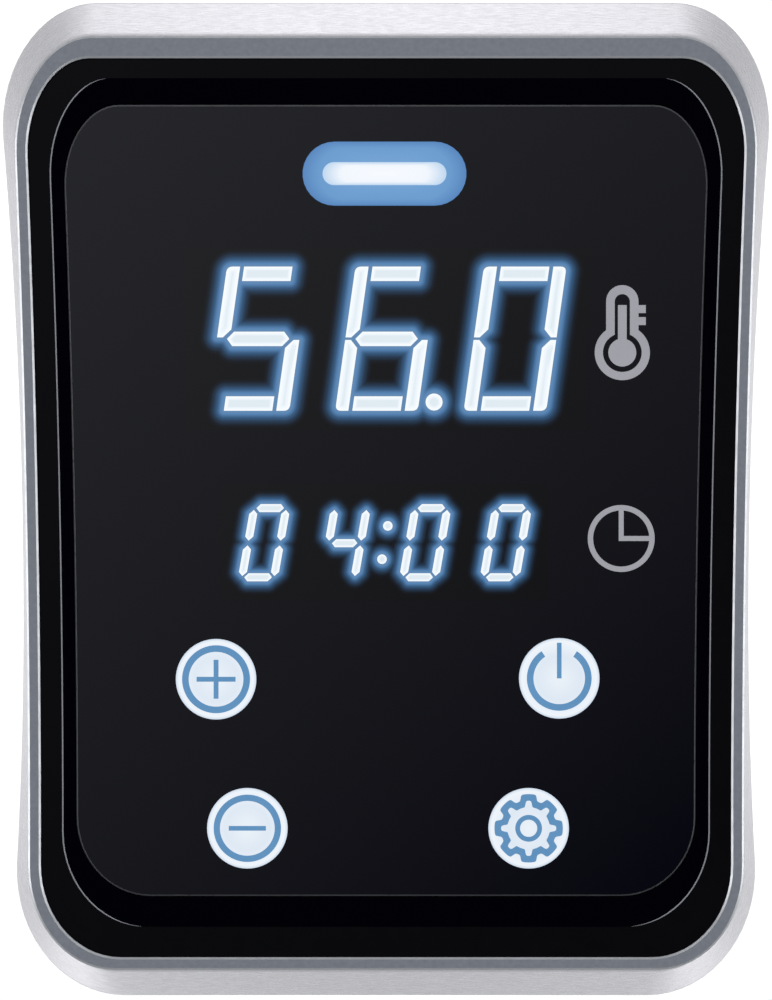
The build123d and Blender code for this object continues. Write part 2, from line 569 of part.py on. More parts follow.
def make_clamp():
    """Clamp that slides on the housing tube, with its pads, screw and knobs."""
    ring_top = RING_LOW + RING_HEIGHT
    parts["clamp_liner"] = tube(RING_BORE, LINER_BORE, RING_LOW, ring_top)
    half = JAW_WIDTH / 2
    bracket = rod(RING_RADIUS, RING_LOW, ring_top)
    bracket = bracket + block(-half, half, 20, JAW_BACK, JAW_LOW, ring_top)
    bracket = bracket + block(-half, half, 20, LEG_BACK, ring_top - BRIDGE_HEIGHT, ring_top)
    bracket = bracket + block(-half, half, LEG_FRONT, LEG_BACK, JAW_LOW, ring_top)
    boss = Pos(RING_RADIUS - 1, 0, RING_LOW + RING_HEIGHT / 2) * Rot(0, 90, 0) * Cylinder(6.0, 5.0)
    bracket = bracket + boss
    upright = [e for e in bracket.edges().filter_by(Axis.Z) if e.center().Y > LEG_BACK - 1]
    bracket = fillet(upright, LEG_THICK / 3)
    rounded = [e for e in bracket.edges().filter_by(Axis.X) if e.center().Y > LEG_FRONT + 1]
    bracket = fillet(rounded, LEG_THICK / 3)
    bracket = bracket - rod(RING_BORE, JAW_LOW - 1, ring_top + 1)
    bracket = bracket - across(5.0, LEG_FRONT - 1, LEG_BACK + 1, z=SCREW_HEIGHT)
    stud_hole = Pos(RING_RADIUS, 0, RING_LOW + RING_HEIGHT / 2) * Rot(0, 90, 0) * Cylinder(2.5 + RUNNING, 16)
    parts["clamp_bracket"] = bracket - stud_hole
    insert = across(5.0, LEG_FRONT, LEG_BACK, z=SCREW_HEIGHT)
    insert = insert - across(SCREW_RADIUS + RUNNING, LEG_FRONT - 1, LEG_BACK + 1, z=SCREW_HEIGHT)
    parts["thread_insert"] = insert
    pad_half = half - 2
    parts["pot_pad"] = block(-pad_half, pad_half, JAW_BACK, PAD_FACE, JAW_LOW + 2, RING_LOW + 8)

    press = across(PRESS_RADIUS, PRESS_FACE, PRESS_BACK, z=SCREW_HEIGHT)
    socket = across(SCREW_RADIUS + RUNNING, PRESS_FACE + 2.5, PRESS_BACK + 1, z=SCREW_HEIGHT)
    parts["press_pad"] = press - socket
    parts["clamp_screw"] = across(SCREW_RADIUS, PRESS_FACE + 2.6, SCREW_END, z=SCREW_HEIGHT)
    knob = across(KNOB_RADIUS, KNOB_FRONT, KNOB_FRONT + KNOB_LENGTH, z=SCREW_HEIGHT)
    for n in range(8):
        turn = radians(45.0 * n)
        x = (KNOB_RADIUS + 1.6) * cos(turn)
        z = SCREW_HEIGHT + (KNOB_RADIUS + 1.6) * sin(turn)
        knob = knob - across(2.9, KNOB_FRONT - 1, KNOB_FRONT + KNOB_LENGTH + 1, x, z)
    knob = knob - across(SCREW_RADIUS, KNOB_FRONT - 1, SCREW_END, z=SCREW_HEIGHT)
    parts["clamp_knob"] = knob

    lock_x = RING_RADIUS + 1.5 + GAP
    height = RING_LOW + RING_HEIGHT / 2
    disc = Pos(lock_x + LOCK_LENGTH / 2, 0, height) * Rot(0, 90, 0) * Cylinder(LOCK_RADIUS, LOCK_LENGTH)
    for n in range(12):
        turn = radians(30.0 * n)
        notch = Pos(lock_x + LOCK_LENGTH / 2, 0, height) * Rot(0, 90, 0) * Pos(
            (LOCK_RADIUS + 0.9) * cos(turn), (LOCK_RADIUS + 0.9) * sin(turn), 0
        ) * Cylinder(1.6, LOCK_LENGTH + 2)
        disc = disc - notch
    stud_start = RING_BORE + 0.4
    stud = Pos((stud_start + lock_x) / 2, 0, height) * Rot(0, 90, 0) * Cylinder(2.5, lock_x - stud_start)
    parts["lock_knob"] = disc + stud


def make_gland():
    """Power inlet gland at the back of the neck, with its inner nut."""
    boss = across(8.5, 24, NECK_RADIUS + 6, z=GLAND_HEIGHT)
    boss = boss - rod(NECK_RADIUS + 0.02, GLAND_HEIGHT - 20, GLAND_HEIGHT + 20)
    spout = across(GLAND_RADIUS, NECK_RADIUS - 9, NECK_RADIUS + 8, z=GLAND_HEIGHT)
    gland = boss + spout
    parts["cable_gland"] = gland - across(3.6, NECK_RADIUS - 10, NECK_RADIUS + 10, z=GLAND_HEIGHT)
    nut = across(9.0, NECK_RADIUS - 8.2, NECK_RADIUS - 4.8, z=GLAND_HEIGHT)
    parts["gland_nut"] = nut - across(GLAND_RADIUS, NECK_RADIUS - 10, NECK_RADIUS, z=GLAND_HEIGHT)


parts["head_sleeve"] = make_sleeve()
make_neck()
make_face_pieces()
make_display_pieces()
make_inside_head()
make_housing()
make_heater()
make_shaft_support()
make_motor()
make_impeller()
make_skirt()
make_foot()
make_clamp()
make_gland()

os.makedirs("parts", exist_ok=True)
for name, shape in parts.items():
    export_step(shape, f"parts/{name}.step")
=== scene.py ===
from math import atan, cos, pi, radians, sin, sqrt, tan
import bmesh
import bpy
import numpy as np
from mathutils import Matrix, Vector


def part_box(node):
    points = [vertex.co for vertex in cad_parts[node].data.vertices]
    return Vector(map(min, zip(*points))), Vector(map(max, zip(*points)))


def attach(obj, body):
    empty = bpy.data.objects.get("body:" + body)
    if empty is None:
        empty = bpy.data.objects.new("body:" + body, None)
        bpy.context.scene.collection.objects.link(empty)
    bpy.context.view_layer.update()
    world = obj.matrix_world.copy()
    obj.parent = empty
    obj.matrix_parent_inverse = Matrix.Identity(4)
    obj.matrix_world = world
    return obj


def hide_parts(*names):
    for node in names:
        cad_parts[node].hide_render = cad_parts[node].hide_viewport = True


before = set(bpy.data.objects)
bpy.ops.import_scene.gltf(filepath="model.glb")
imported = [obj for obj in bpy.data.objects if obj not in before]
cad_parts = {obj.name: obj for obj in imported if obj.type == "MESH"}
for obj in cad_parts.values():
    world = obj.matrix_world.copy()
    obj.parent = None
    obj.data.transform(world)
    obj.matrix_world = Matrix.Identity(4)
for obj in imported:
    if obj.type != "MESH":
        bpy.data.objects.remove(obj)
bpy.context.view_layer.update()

# ---- camera ----
# The camera looks straight down on the control face, with the back of the stick at the
# top of its frame, as a cook does who stands over the pot.
MM = 0.001
RIM_BACK = 46.4
RIM_FRONT = 47.0
rim_low, rim_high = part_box("rim_ring")
TOP = rim_high.z / MM
HEAD_Y = rim_low.y / MM + RIM_FRONT
CAMERA_RISE = 450.0
FRAME_TALL = 100.0

eye = bpy.data.cameras.new("studio_camera")
eye.sensor_width = 36.0
eye.lens = eye.sensor_width * CAMERA_RISE / FRAME_TALL
camera = bpy.data.objects.new("studio_camera", eye)
camera.location = (0.0, HEAD_Y * MM, (TOP + CAMERA_RISE) * MM)
bpy.context.scene.collection.objects.link(camera)
bpy.context.scene.camera = camera
bpy.context.scene.view_settings.view_transform = "Standard"

# ---- studio ----
# A pale floor under a soft grey sky. The sky darkens straight overhead and slopes there
# from lighter behind and left to darker in front and right, which the glass mirrors.
SKY_LEVEL = 0.5
OVERHEAD_LEVEL = 0.25
OVERHEAD_SLOPE = (-1.4, 1.6, 0.0)
OVERHEAD_LEAST = 0.02
OVERHEAD_ENDS = (11.0, 26.0)
FLOOR_HALF = 6.0


def link(tree, *pairs):
    """Joins sockets of a node tree, each pair from an output to an input."""
    for source, target in pairs:
        tree.links.new(source, target)


def node(tree, kind, places=(), **values):
    """A node with its properties and inputs set by name, and other inputs by their places."""
    made = tree.nodes.new(kind)
    for name, value in values.items():
        if hasattr(made, name):
            setattr(made, name, value)
        else:
            made.inputs[name.replace("_", " ")].default_value = value
    for place, value in places:
        made.inputs[place].default_value = value
    return made


sky = bpy.data.worlds.new("studio_sky")
sky.use_nodes = True
bpy.context.scene.world = sky
tree = sky.node_tree
background = tree.nodes["Background"]
heading = node(tree, "ShaderNodeTexCoord")
parted = node(tree, "ShaderNodeSeparateXYZ")
slope = node(tree, "ShaderNodeVectorMath", [(1, OVERHEAD_SLOPE)], operation="DOT_PRODUCT")
overhead = node(tree, "ShaderNodeMath", [(1, OVERHEAD_LEVEL)], operation="ADD")
at_least = node(tree, "ShaderNodeMath", [(1, OVERHEAD_LEAST)], operation="MAXIMUM")
near, far = (cos(radians(end)) for end in OVERHEAD_ENDS)
away = node(
    tree, "ShaderNodeMapRange", interpolation_type="SMOOTHSTEP", From_Min=near, From_Max=far
)
blend = node(tree, "ShaderNodeMix", [(3, SKY_LEVEL)], data_type="FLOAT")
link(
    tree,
    (heading.outputs["Generated"], parted.inputs[0]),
    (heading.outputs["Generated"], slope.inputs[0]),
    (slope.outputs["Value"], overhead.inputs[0]),
    (overhead.outputs[0], at_least.inputs[0]),
    (parted.outputs["Z"], away.inputs["Value"]),
    (away.outputs["Result"], blend.inputs[0]),
    (at_least.outputs[0], blend.inputs[2]),
    (blend.outputs[0], background.inputs["Strength"]),
)
background.inputs["Color"].default_value = (0.96, 0.98, 1.0, 1.0)


def softbox(name, place, aim, size, brightness):
    """A square soft light that faces a point; brightness is what a mirror would show of it."""
    light = bpy.data.lights.new(name, "AREA")
    light.size = size
    light.energy = brightness * pi * size * size
    lamp = bpy.data.objects.new(name, light)
    lamp.location = place
    away_from = lamp.location - type(lamp.location)(aim)
    lamp.rotation_mode = "QUATERNION"
    lamp.rotation_quaternion = away_from.to_track_quat("Z", "Y")
    lamp.visible_camera = False
    bpy.context.scene.collection.objects.link(lamp)


softbox("light_left", (-1.3, 0.0, 0.45), (0, 0, 0.3), 0.8, 2.2)
softbox("light_right", (1.3, 0.0, 0.45), (0, 0, 0.3), 0.8, 2.0)
softbox("light_back_left", (-0.9, 1.3, 1.7), (0, 0.25, 0), 0.8, 7.0)
softbox("light_back_right", (0.9, 1.3, 1.7), (0, 0.25, 0), 0.8, 7.0)
softbox("light_front_left", (-0.8, -0.9, 1.0), (-0.15, -0.2, 0), 0.4, 3.0)
softbox("light_front_right", (0.8, -0.9, 1.0), (0.15, -0.2, 0), 0.4, 3.0)

floor_mesh = bpy.data.meshes.new("studio_floor")
corners = [(x * FLOOR_HALF, y * FLOOR_HALF, 0) for x, y in ((-1, -1), (1, -1), (1, 1), (-1, 1))]
floor_mesh.from_pydata(corners, [], [(0, 1, 2, 3)])
studio_floor = bpy.data.objects.new("studio_floor", floor_mesh)
bpy.context.scene.collection.objects.link(studio_floor)
# Painted light: the floor gives off a glow of its own in soft pools, for the silver sleeve to
# mirror; middle x and y in metres, spread and amount.
POOL_FALL = 0.6
PAINTED_LIGHT_POOLS = [
    (0.0, 0.0, 0.13, 0.85),
    (0.0, 0.39, 0.105, 0.88),
    (-0.20, -0.30, 0.085, 1.05),
    (0.20, -0.30, 0.085, 0.95),
]
floor_paper = bpy.data.materials.new("floor_paper")
floor_paper.use_nodes = True
tree = floor_paper.node_tree
paper = tree.nodes["Principled BSDF"]
paper.inputs["Base Color"].default_value = (0.5, 0.5, 0.5, 1)
paper.inputs["Roughness"].default_value = 0.9
paper.inputs["Emission Color"].default_value = (1, 1, 1, 1)
on_floor = node(tree, "ShaderNodeTexCoord").outputs["Object"]
total = None
for pool_x, pool_y, spread, amount in PAINTED_LIGHT_POOLS:
    gap = node(tree, "ShaderNodeVectorMath", [(1, (pool_x, pool_y, 0))], operation="DISTANCE")
    share = node(tree, "ShaderNodeMath", [(1, spread)], operation="DIVIDE")
    square = node(tree, "ShaderNodeMath", operation="MULTIPLY")
    fall = node(tree, "ShaderNodeMath", [(0, POOL_FALL)], operation="POWER")
    glow = node(tree, "ShaderNodeMath", [(1, amount), (2, 0.0)], operation="MULTIPLY_ADD")
    link(
        tree,
        (on_floor, gap.inputs[0]),
        (gap.outputs["Value"], share.inputs[0]),
        (share.outputs[0], square.inputs[0]),
        (share.outputs[0], square.inputs[1]),
        (square.outputs[0], fall.inputs[1]),
        (fall.outputs[0], glow.inputs[0]),
    )
    if total is not None:
        link(tree, (total, glow.inputs[2]))
    total = glow.outputs[0]
# The summed pools drive the floor's own emission: painted light, not lamp light.
link(tree, (total, paper.inputs["Emission Strength"]))
floor_mesh.materials.append(floor_paper)

# ---- immersed tube ----
# A drawn stainless tube, 0.8 mm thick, with two rows of round-ended slots punched through
# it, and two level marks etched round it. It slides off the stick for cleaning.
SKIRT_WALL = 0.8
SLOT_WIDTH = 3.2
SLOTS = 12
HIGH_SLOTS = (92.0, 138.0)
LOW_SLOTS = (26.0, 46.0)
LEVEL_MARKS = (68.0, 150.0)


def tone(red, green, blue):
    """Colour as a screen shows it, 0 to 255, made the linear values that a shader takes."""
    shown = np.array([red, green, blue]) / 255.0
    linear = np.where(shown > 0.04045, ((shown + 0.055) / 1.055) ** 2.4, shown / 12.92)
    return (*linear.tolist(), 1.0)


def shaded(name, roughness=0.5, metallic=0.0, **sockets):
    """A Principled material with constant sockets; returns it, its tree and its shader."""
    made = bpy.data.materials.new(name)
    made.use_nodes = True
    shader = made.node_tree.nodes["Principled BSDF"]
    shader.inputs["Roughness"].default_value = roughness
    shader.inputs["Metallic"].default_value = metallic
    for socket, value in sockets.items():
        shader.inputs[socket.replace("_", " ")].default_value = value
    return made, made.node_tree, shader


def finish(name, dark, light, rough, metallic=0.0, mottle=60.0, grain=900.0, depth=0.01,
           stretch=(1, 1, 1), **sockets):
    """Surface with detail at two scales, on Object coordinates.

    A broad noise mottles the colour between two tones, a fine noise, stretched along the
    tool's direction, varies the roughness between two values and raises the grain.
    """
    made, tree, shader = shaded(name, metallic=metallic, **sockets)
    where = node(tree, "ShaderNodeTexCoord")
    drawn = node(tree, "ShaderNodeMapping", Scale=stretch)
    broad = node(tree, "ShaderNodeTexNoise", Scale=mottle, Detail=4.0)
    fine = node(tree, "ShaderNodeTexNoise", Scale=grain, Detail=3.0)
    tones = node(
        tree, "ShaderNodeMix", [(6, tone(*dark)), (7, tone(*light))], data_type="RGBA"
    )
    gloss = node(
        tree, "ShaderNodeMapRange", From_Min=0.3, From_Max=0.7, To_Min=rough[0], To_Max=rough[1]
    )
    relief = node(tree, "ShaderNodeBump", Strength=1.0, Distance=depth * MM)
    link(
        tree,
        (where.outputs["Object"], broad.inputs["Vector"]),
        (where.outputs["Object"], drawn.inputs["Vector"]),
        (drawn.outputs[0], fine.inputs["Vector"]),
        (broad.outputs["Fac"], tones.inputs[0]),
        (tones.outputs[2], shader.inputs["Base Color"]),
        (fine.outputs["Fac"], gloss.inputs["Value"]),
        (gloss.outputs[0], shader.inputs["Roughness"]),
        (fine.outputs["Fac"], relief.inputs["Height"]),
        (relief.outputs[0], shader.inputs["Normal"]),
    )
    return made


def piece(name, points, faces, body, slot, *materials, sharp=32.0, attributes=()):
    """A welded mesh from points in millimetres, riding on a CAD body.

    Points closer than a ten-thousandth of a millimetre are merged, so seams and poles close.
    """
    mesh = bpy.data.meshes.new(name)
    mesh.from_pydata((np.asarray(points) * MM).tolist(), [], np.asarray(faces).tolist())
    for label, values in attributes:
        mesh.attributes.new(label, "FLOAT", "POINT").data.foreach_set("value", np.asarray(values))
    weld = bmesh.new()
    weld.from_mesh(mesh)
    bmesh.ops.remove_doubles(weld, verts=weld.verts, dist=1e-7)
    bmesh.ops.dissolve_degenerate(weld, edges=weld.edges, dist=1e-8)
    weld.to_mesh(mesh)
    weld.free()
    made = bpy.data.objects.new(name, mesh)
    bpy.context.scene.collection.objects.link(made)
    mesh.shade_smooth()
    mesh.set_sharp_from_angle(angle=radians(sharp))
    for material in materials:
        mesh.materials.append(material)
    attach(made, body)
    return made


def polar(radius, turn):
    """Points at a turn round the origin, at one radius or one for each."""
    return np.stack([radius * np.cos(turn), radius * np.sin(turn)], axis=-1)


def upright(radius, turn, height):
    """Points at a turn round the upright axis."""
    return np.stack([radius * np.cos(turn), radius * np.sin(turn), height], axis=-1)


def grid_faces(rows, columns, wrapped=False, start=0, turned=False):
    """Quads of a grid of points, row by row; wrapped joins the last column to the first."""
    row, column = np.indices((rows - 1, columns - (not wrapped)))
    after = (column + 1) % columns
    corners = [row * columns + column, row * columns + after]
    corners += [(row + 1) * columns + after, (row + 1) * columns + column]
    faces = np.stack(corners, axis=-1).reshape(-1, 4) + start
    return faces[:, ::-1] if turned else faces


def strips(levels, opening, along, place, count, turned=False):
    """Wall between slots, as strips whose edges follow the slots' outlines.

    Strip k lies between slot lines k and k + 1. Across it the grid runs evenly from one
    slot's edge, line + opening, to the next one's, line - opening; place bends it round.
    """
    share = np.linspace(0, 1, count)[None, :]
    points, faces, start = [], [], 0
    for k in range(len(levels) - 1):
        first = levels[k] + opening(k, along)[:, None]
        last = levels[k + 1] - opening(k + 1, along)[:, None]
        crosswise = first + share * (last - first)
        lengthwise = np.repeat(along[:, None], count, axis=1)
        block = place(lengthwise, crosswise).reshape(-1, 3)
        faces.append(grid_faces(len(along), count, start=start, turned=turned))
        points.append(block)
        start += len(block)
    return np.concatenate(points), np.concatenate(faces)


def slot_half(along, low, high, width):
    """Half width of a round-ended slot: full between its ends, a circle's chord in them."""
    radius = width / 2
    beyond = np.maximum(np.maximum(low + radius - along, along - high + radius), 0)
    return np.sqrt(np.maximum(radius**2 - beyond**2, 0)) * (beyond < radius)


def slot_rows(low, high, width, steps=7):
    """Rows along a slot, closest together at its round ends."""
    ends = width / 2 * (1 - np.cos(np.linspace(0, pi / 2, steps)))
    straight = np.linspace(low + width / 2, high - width / 2, 9)
    return np.concatenate([low + ends, straight, high - ends])


def rows_of(*parts):
    """Heights of a wall's rows, in order and each once."""
    return np.unique(np.concatenate(parts).round(4))


def walled(made, thickness):
    """Gives a skin its wall, inwards, and shades its flat strips evenly."""
    wall = made.modifiers.new("wall", "SOLIDIFY")
    wall.thickness = thickness * MM
    wall.offset = -1
    wall.use_even_offset = True
    made.modifiers.new("even_shading", "WEIGHTED_NORMAL").keep_sharp = True


skirt_low, skirt_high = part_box("skirt_tube")
skirt_radius = skirt_high.x / MM
skirt_rows = rows_of(
    np.linspace(skirt_low.z / MM, skirt_high.z / MM, 24),
    slot_rows(*HIGH_SLOTS, SLOT_WIDTH),
    slot_rows(*LOW_SLOTS, SLOT_WIDTH),
    *[mark + np.array([-0.45, -0.3, 0.3, 0.45]) for mark in LEVEL_MARKS],
)


def skirt_opening(line, along):
    """Even slot lines carry the upper row of slots and odd lines the lower row."""
    low, high = LOW_SLOTS if line % 2 else HIGH_SLOTS
    return slot_half(along, low, high, SLOT_WIDTH)


def skirt_place(along, crosswise):
    """Wraps the wall round the tube's axis; an etched mark lies a tenth of a millimetre in."""
    inside = sum((abs(along - mark) < 0.4) for mark in LEVEL_MARKS) * 0.1
    return upright(skirt_radius - inside, crosswise / skirt_radius, along)


skirt_lines = np.arange(2 * SLOTS + 1) * pi / SLOTS * skirt_radius
circular_steel = finish(
    "circular_brushed_steel", (176, 178, 182), (206, 207, 210), (0.2, 0.38), metallic=1.0,
    mottle=45.0, grain=1.0, depth=0.006, stretch=(90, 90, 5200),
)
skirt_skin = strips(skirt_lines, skirt_opening, skirt_rows, skirt_place, 6)
skirt_tube = piece("skirt_shell", *skirt_skin, "skirt", "skirt_steel", circular_steel)
walled(skirt_tube, SKIRT_WALL)
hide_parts("skirt_tube")

# ---- foot cap ----
# A moulded nylon cap, pushed up round the tube's end and locked by a short twist. Eight
# windows let the water out, and upright ribs round its rim give wet fingers a grip.
FOOT_WALL = 1.2
FOOT_WINDOWS = 8
WINDOW_LOW = 4.0
WINDOW_HIGH = 10.0
WINDOW_WIDTH = 9.0
WINDOW_CORNER = 1.2
FOOT_ROUND = 1.6
GRIP_RIBS = 48
RIBS_LOW = 11.2
RIB_DEPTH = 0.28


def eased(corners, radius, steps=5):
    """Profile with each inner corner eased by a curve.

    The curve is quadratic: it leaves the line a radius before the corner and meets the
    next line a radius after it, with the corner as its control point.
    """
    corners = np.asarray(corners, float)
    share = np.linspace(0, 1, steps)[:, None]
    made = [corners[:1]]
    for before, corner, after in zip(corners[:-2], corners[1:-1], corners[2:]):
        spans = [np.linalg.norm(before - corner), np.linalg.norm(after - corner)]
        cut = min(radius, 0.45 * min(spans))
        start = corner + (before - corner) * cut / spans[0]
        end = corner + (after - corner) * cut / spans[1]
        made.append((1 - share) ** 2 * start + 2 * share * (1 - share) * corner + share**2 * end)
    made.append(corners[-1:])
    return np.concatenate(made)


def turned(profile, sides=96, ripple=None):
    """Rings of a turned part: each profile point (radius, height) swept round an axis.

    ripple, if given, adds to the radius as a function of the turn and the profile.
    """
    profile = np.asarray(profile, float)
    turn = np.arange(sides) * 2 * pi / sides
    radius = np.repeat(profile[:, :1], sides, axis=1)
    if ripple is not None:
        radius = radius + ripple(turn[None, :], profile)
    height = np.repeat(profile[:, 1:], sides, axis=1)
    return upright(radius, turn, height)


def skin(rings, looped=False):
    """Points and quads of stacked rings; looped joins the last ring to the first."""
    rings = np.asarray(rings)
    if looped:
        rings = np.concatenate([rings, rings[:1]])
    return rings.reshape(-1, 3), grid_faces(*rings.shape[:2], wrapped=True)


def together(*skins):
    """Several skins as one list of points and one of faces."""
    points, faces, start = [], [], 0
    for some, quads in skins:
        points.append(np.asarray(some))
        faces.append(np.asarray(quads) + start)
        start += len(some)
    return np.concatenate(points), np.concatenate(faces)


foot_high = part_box("foot_cap")[1]
foot_radius = foot_high.x / MM
foot_top = foot_high.z / MM
foot_pitch = 2 * pi * foot_radius / FOOT_WINDOWS


def window_opening(line, along):
    """Half the window's width, less near its rounded corners."""
    beyond = np.maximum(WINDOW_LOW + WINDOW_CORNER - along, along - WINDOW_HIGH + WINDOW_CORNER)
    beyond = np.maximum(beyond, 0)
    drawn_in = WINDOW_CORNER - np.sqrt(np.maximum(WINDOW_CORNER**2 - beyond**2, 0))
    inside = (along > WINDOW_LOW) & (along < WINDOW_HIGH)
    return np.where(inside, WINDOW_WIDTH / 2 - drawn_in, 0)


def foot_place(along, crosswise):
    """The wall stands on a rounded lower edge and is ribbed above the windows."""
    turn = crosswise / foot_radius
    low = np.clip((FOOT_ROUND - along) / FOOT_ROUND, 0, 1)
    drawn_in = FOOT_ROUND * (1 - np.sqrt(1 - low**2))
    band = np.clip((along - RIBS_LOW) / 0.6, 0, 1) * np.clip((foot_top - 0.8 - along) / 0.6, 0, 1)
    ribs = RIB_DEPTH * band * np.clip(0.5 - np.cos(GRIP_RIBS * turn), 0, 1)
    return upright(foot_radius - drawn_in - ribs, turn, along)


window_rows = WINDOW_LOW + WINDOW_CORNER * (1 - np.cos(np.linspace(0, pi / 2, 6)))
foot_rows = rows_of(
    FOOT_ROUND * (1 - np.cos(np.linspace(0, pi / 2, 6))),
    [WINDOW_LOW - 0.001, WINDOW_HIGH + 0.001, RIBS_LOW, 11.5, 11.8, 12.5, foot_top - 1.4],
    window_rows,
    WINDOW_HIGH + WINDOW_LOW - window_rows,
    [foot_top - 1.1, foot_top - 0.8, foot_top],
)
nylon = finish(
    "foot_nylon", (30, 31, 34), (40, 41, 45), (0.42, 0.6), mottle=70.0, grain=1500.0, depth=0.02,
)
foot_lines = np.arange(FOOT_WINDOWS + 1) * foot_pitch
foot_wall = strips(foot_lines, window_opening, foot_rows, foot_place, 37)
foot_shell = piece("foot_shell", *foot_wall, "foot", "foot_black", nylon)
walled(foot_shell, FOOT_WALL)
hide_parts("foot_cap")
floor_reach = foot_radius - FOOT_ROUND
floor_line = [(0, 3.0), (24.5, 3.0), (26.9, 3.0), (floor_reach, 0.02), (9.0, 0.02), (8.6, 0.6)]
floor_profile = eased([*floor_line, (0, 0.6)], 0.5)
piece("foot_floor", *skin(turned(floor_profile[::-1])), "foot", "foot_black", nylon)

# ---- housing tube and its trim ----
# The handle of the stick: a tube moulded in glass filled plastic with a fine spark-eroded
# texture and a rib-like lip at its lower edge, closed above by a ring of satin aluminium.
housing_low, housing_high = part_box("housing_tube")
housing_radius = housing_high.x / MM
trim_low, trim_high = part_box("neck_trim")
neck_radius = trim_high.x / MM
housing_foot = housing_low.z / MM
trim_foot = trim_low.z / MM
trim_head = trim_high.z / MM
housing_plastic = finish(
    "housing_plastic", (34, 35, 38), (43, 44, 48), (0.38, 0.55), mottle=40.0, grain=2600.0,
    depth=0.03,
)
housing_profile = eased(
    [
        (29.5, housing_foot + 13.5), (29.5, housing_foot + 0.8), (30.0, housing_foot),
        (31.5, housing_foot), (housing_radius, housing_foot + 0.5),
        (housing_radius, housing_foot + 5.0), (housing_radius - 0.35, housing_foot + 5.3),
        (housing_radius - 0.35, housing_foot + 6.1), (housing_radius, housing_foot + 6.4),
        (housing_radius, trim_foot - 0.02), (30.2, trim_foot - 0.02), (30.2, housing_foot + 13.5),
    ],
    0.3,
)
housing_skin = skin(turned(housing_profile, 128), looped=True)
housing_shell = piece("housing_shell", *housing_skin, "stick", "housing_black", housing_plastic)
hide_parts("housing_tube")
satin_aluminium = finish(
    "satin_aluminium", (150, 152, 156), (170, 172, 176), (0.24, 0.4), metallic=1.0, mottle=30.0,
    grain=1.0, depth=0.004, stretch=(70, 70, 4200),
)
trim_profile = eased(
    [
        (30.3, trim_foot + 0.1), (neck_radius - 0.5, trim_foot + 0.05),
        (neck_radius, trim_foot + 0.5), (neck_radius, trim_head - 0.5),
        (neck_radius - 0.5, trim_head - 0.05), (30.3, trim_head - 0.1),
    ],
    0.35,
)
trim_skin = skin(turned(trim_profile, 128), looped=True)
trim_shell = piece("trim_shell", *trim_skin, "stick", "trim_grey", satin_aluminium)
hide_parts("neck_trim")

# ---- neck band ----
# The neck between handle and head, moulded in the housing's plastic, with five cooling
# slots through each side and the power inlet's gland at the back.
NECK_WALL = 2.0
VENTS = 5
VENT_PITCH = 5.5
VENT_RISE = 8.0
VENT_HALF_LENGTH = 7.0
VENT_WIDTH = 2.2

neck_low, neck_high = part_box("neck_band")
neck_foot = neck_low.z / MM
neck_head = neck_high.z / MM
vent_lines = neck_foot + VENT_RISE + VENT_PITCH * np.arange(VENTS)
neck_levels = np.concatenate([[neck_foot], vent_lines, [neck_head]])
half_turn = pi * neck_radius
vent_columns = slot_rows(-VENT_HALF_LENGTH, VENT_HALF_LENGTH, VENT_WIDTH)
at_vents = [vent_columns + turn for turn in (0, half_turn, -half_turn)]
neck_columns = np.concatenate([np.linspace(-half_turn, half_turn, 97), *at_vents])
neck_columns = np.unique(np.clip(neck_columns, -half_turn, half_turn).round(9))
apart = np.diff(neck_columns, append=np.inf) > 1e-4
neck_columns = np.clip(neck_columns[apart], -half_turn, half_turn)


def vent_opening(line, along):
    """Cooling slots centre on the tube's two sides; the first and last lines are edges."""
    if line in (0, len(neck_levels) - 1):
        return np.zeros_like(along)
    from_side = np.minimum(abs(along), half_turn - abs(along))
    return slot_half(from_side, -VENT_HALF_LENGTH, VENT_HALF_LENGTH, VENT_WIDTH)


def neck_place(along, crosswise):
    """Wraps the wall round the neck, its two edges drawn in by a small chamfer."""
    edge = np.minimum(crosswise - neck_foot, neck_head - crosswise)
    radius = neck_radius - np.clip(0.35 - edge, 0, 0.35)
    return upright(radius, along / neck_radius, crosswise)


neck_skin = strips(neck_levels, vent_opening, neck_columns, neck_place, 9, turned=True)
neck_shell = piece("neck_shell", *neck_skin, "stick", "housing_black", housing_plastic)
walled(neck_shell, NECK_WALL)
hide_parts("neck_band")

# ---- power inlet gland ----
# A strain relief screwed into the back of the neck: a round flange and a short ringed
# spout of softer plastic with a rounded mouth, where the mains cord enters.
gland_low, gland_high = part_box("cable_gland")
gland_z = (gland_low.z + gland_high.z) / 2 / MM
gland_end = gland_high.y / MM
CORD_BORE = 3.6
rubber = finish(
    "gland_rubber", (24, 24, 26), (33, 33, 36), (0.5, 0.72), mottle=90.0, grain=1200.0, depth=0.02,
)


def lying(rings, height):
    """Rings turned about the upright axis, laid over to turn about +Y at a height."""
    return np.stack([rings[..., 0], rings[..., 2], height - rings[..., 1]], axis=-1)


def moved(profile, start):
    """A profile moved along its axis."""
    return [(reach, start + on) for reach, on in profile]


gland_line = moved([(CORD_BORE, -7), (8.5, -7), (8.5, 1.4), (6.6, 2.0)], neck_radius)
for ring in range(3):
    ring_profile = [(5.2, 0), (5.9, 0.3), (5.9, 1.0), (5.2, 1.3)]
    gland_line += moved(ring_profile, neck_radius + 2.2 + 1.5 * ring)
gland_line += moved([(5.6, -0.7), (5.0, 0), (CORD_BORE + 0.5, 0), (CORD_BORE, -1.0)], gland_end)
gland_profile = eased(gland_line, 0.25, steps=4)
gland_rings = lying(turned(gland_profile, 48), gland_z)
gland_skin = skin(gland_rings, looped=True)
gland_shell = piece("gland_shell", *gland_skin, "stick", "housing_black", rubber)
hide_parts("cable_gland")

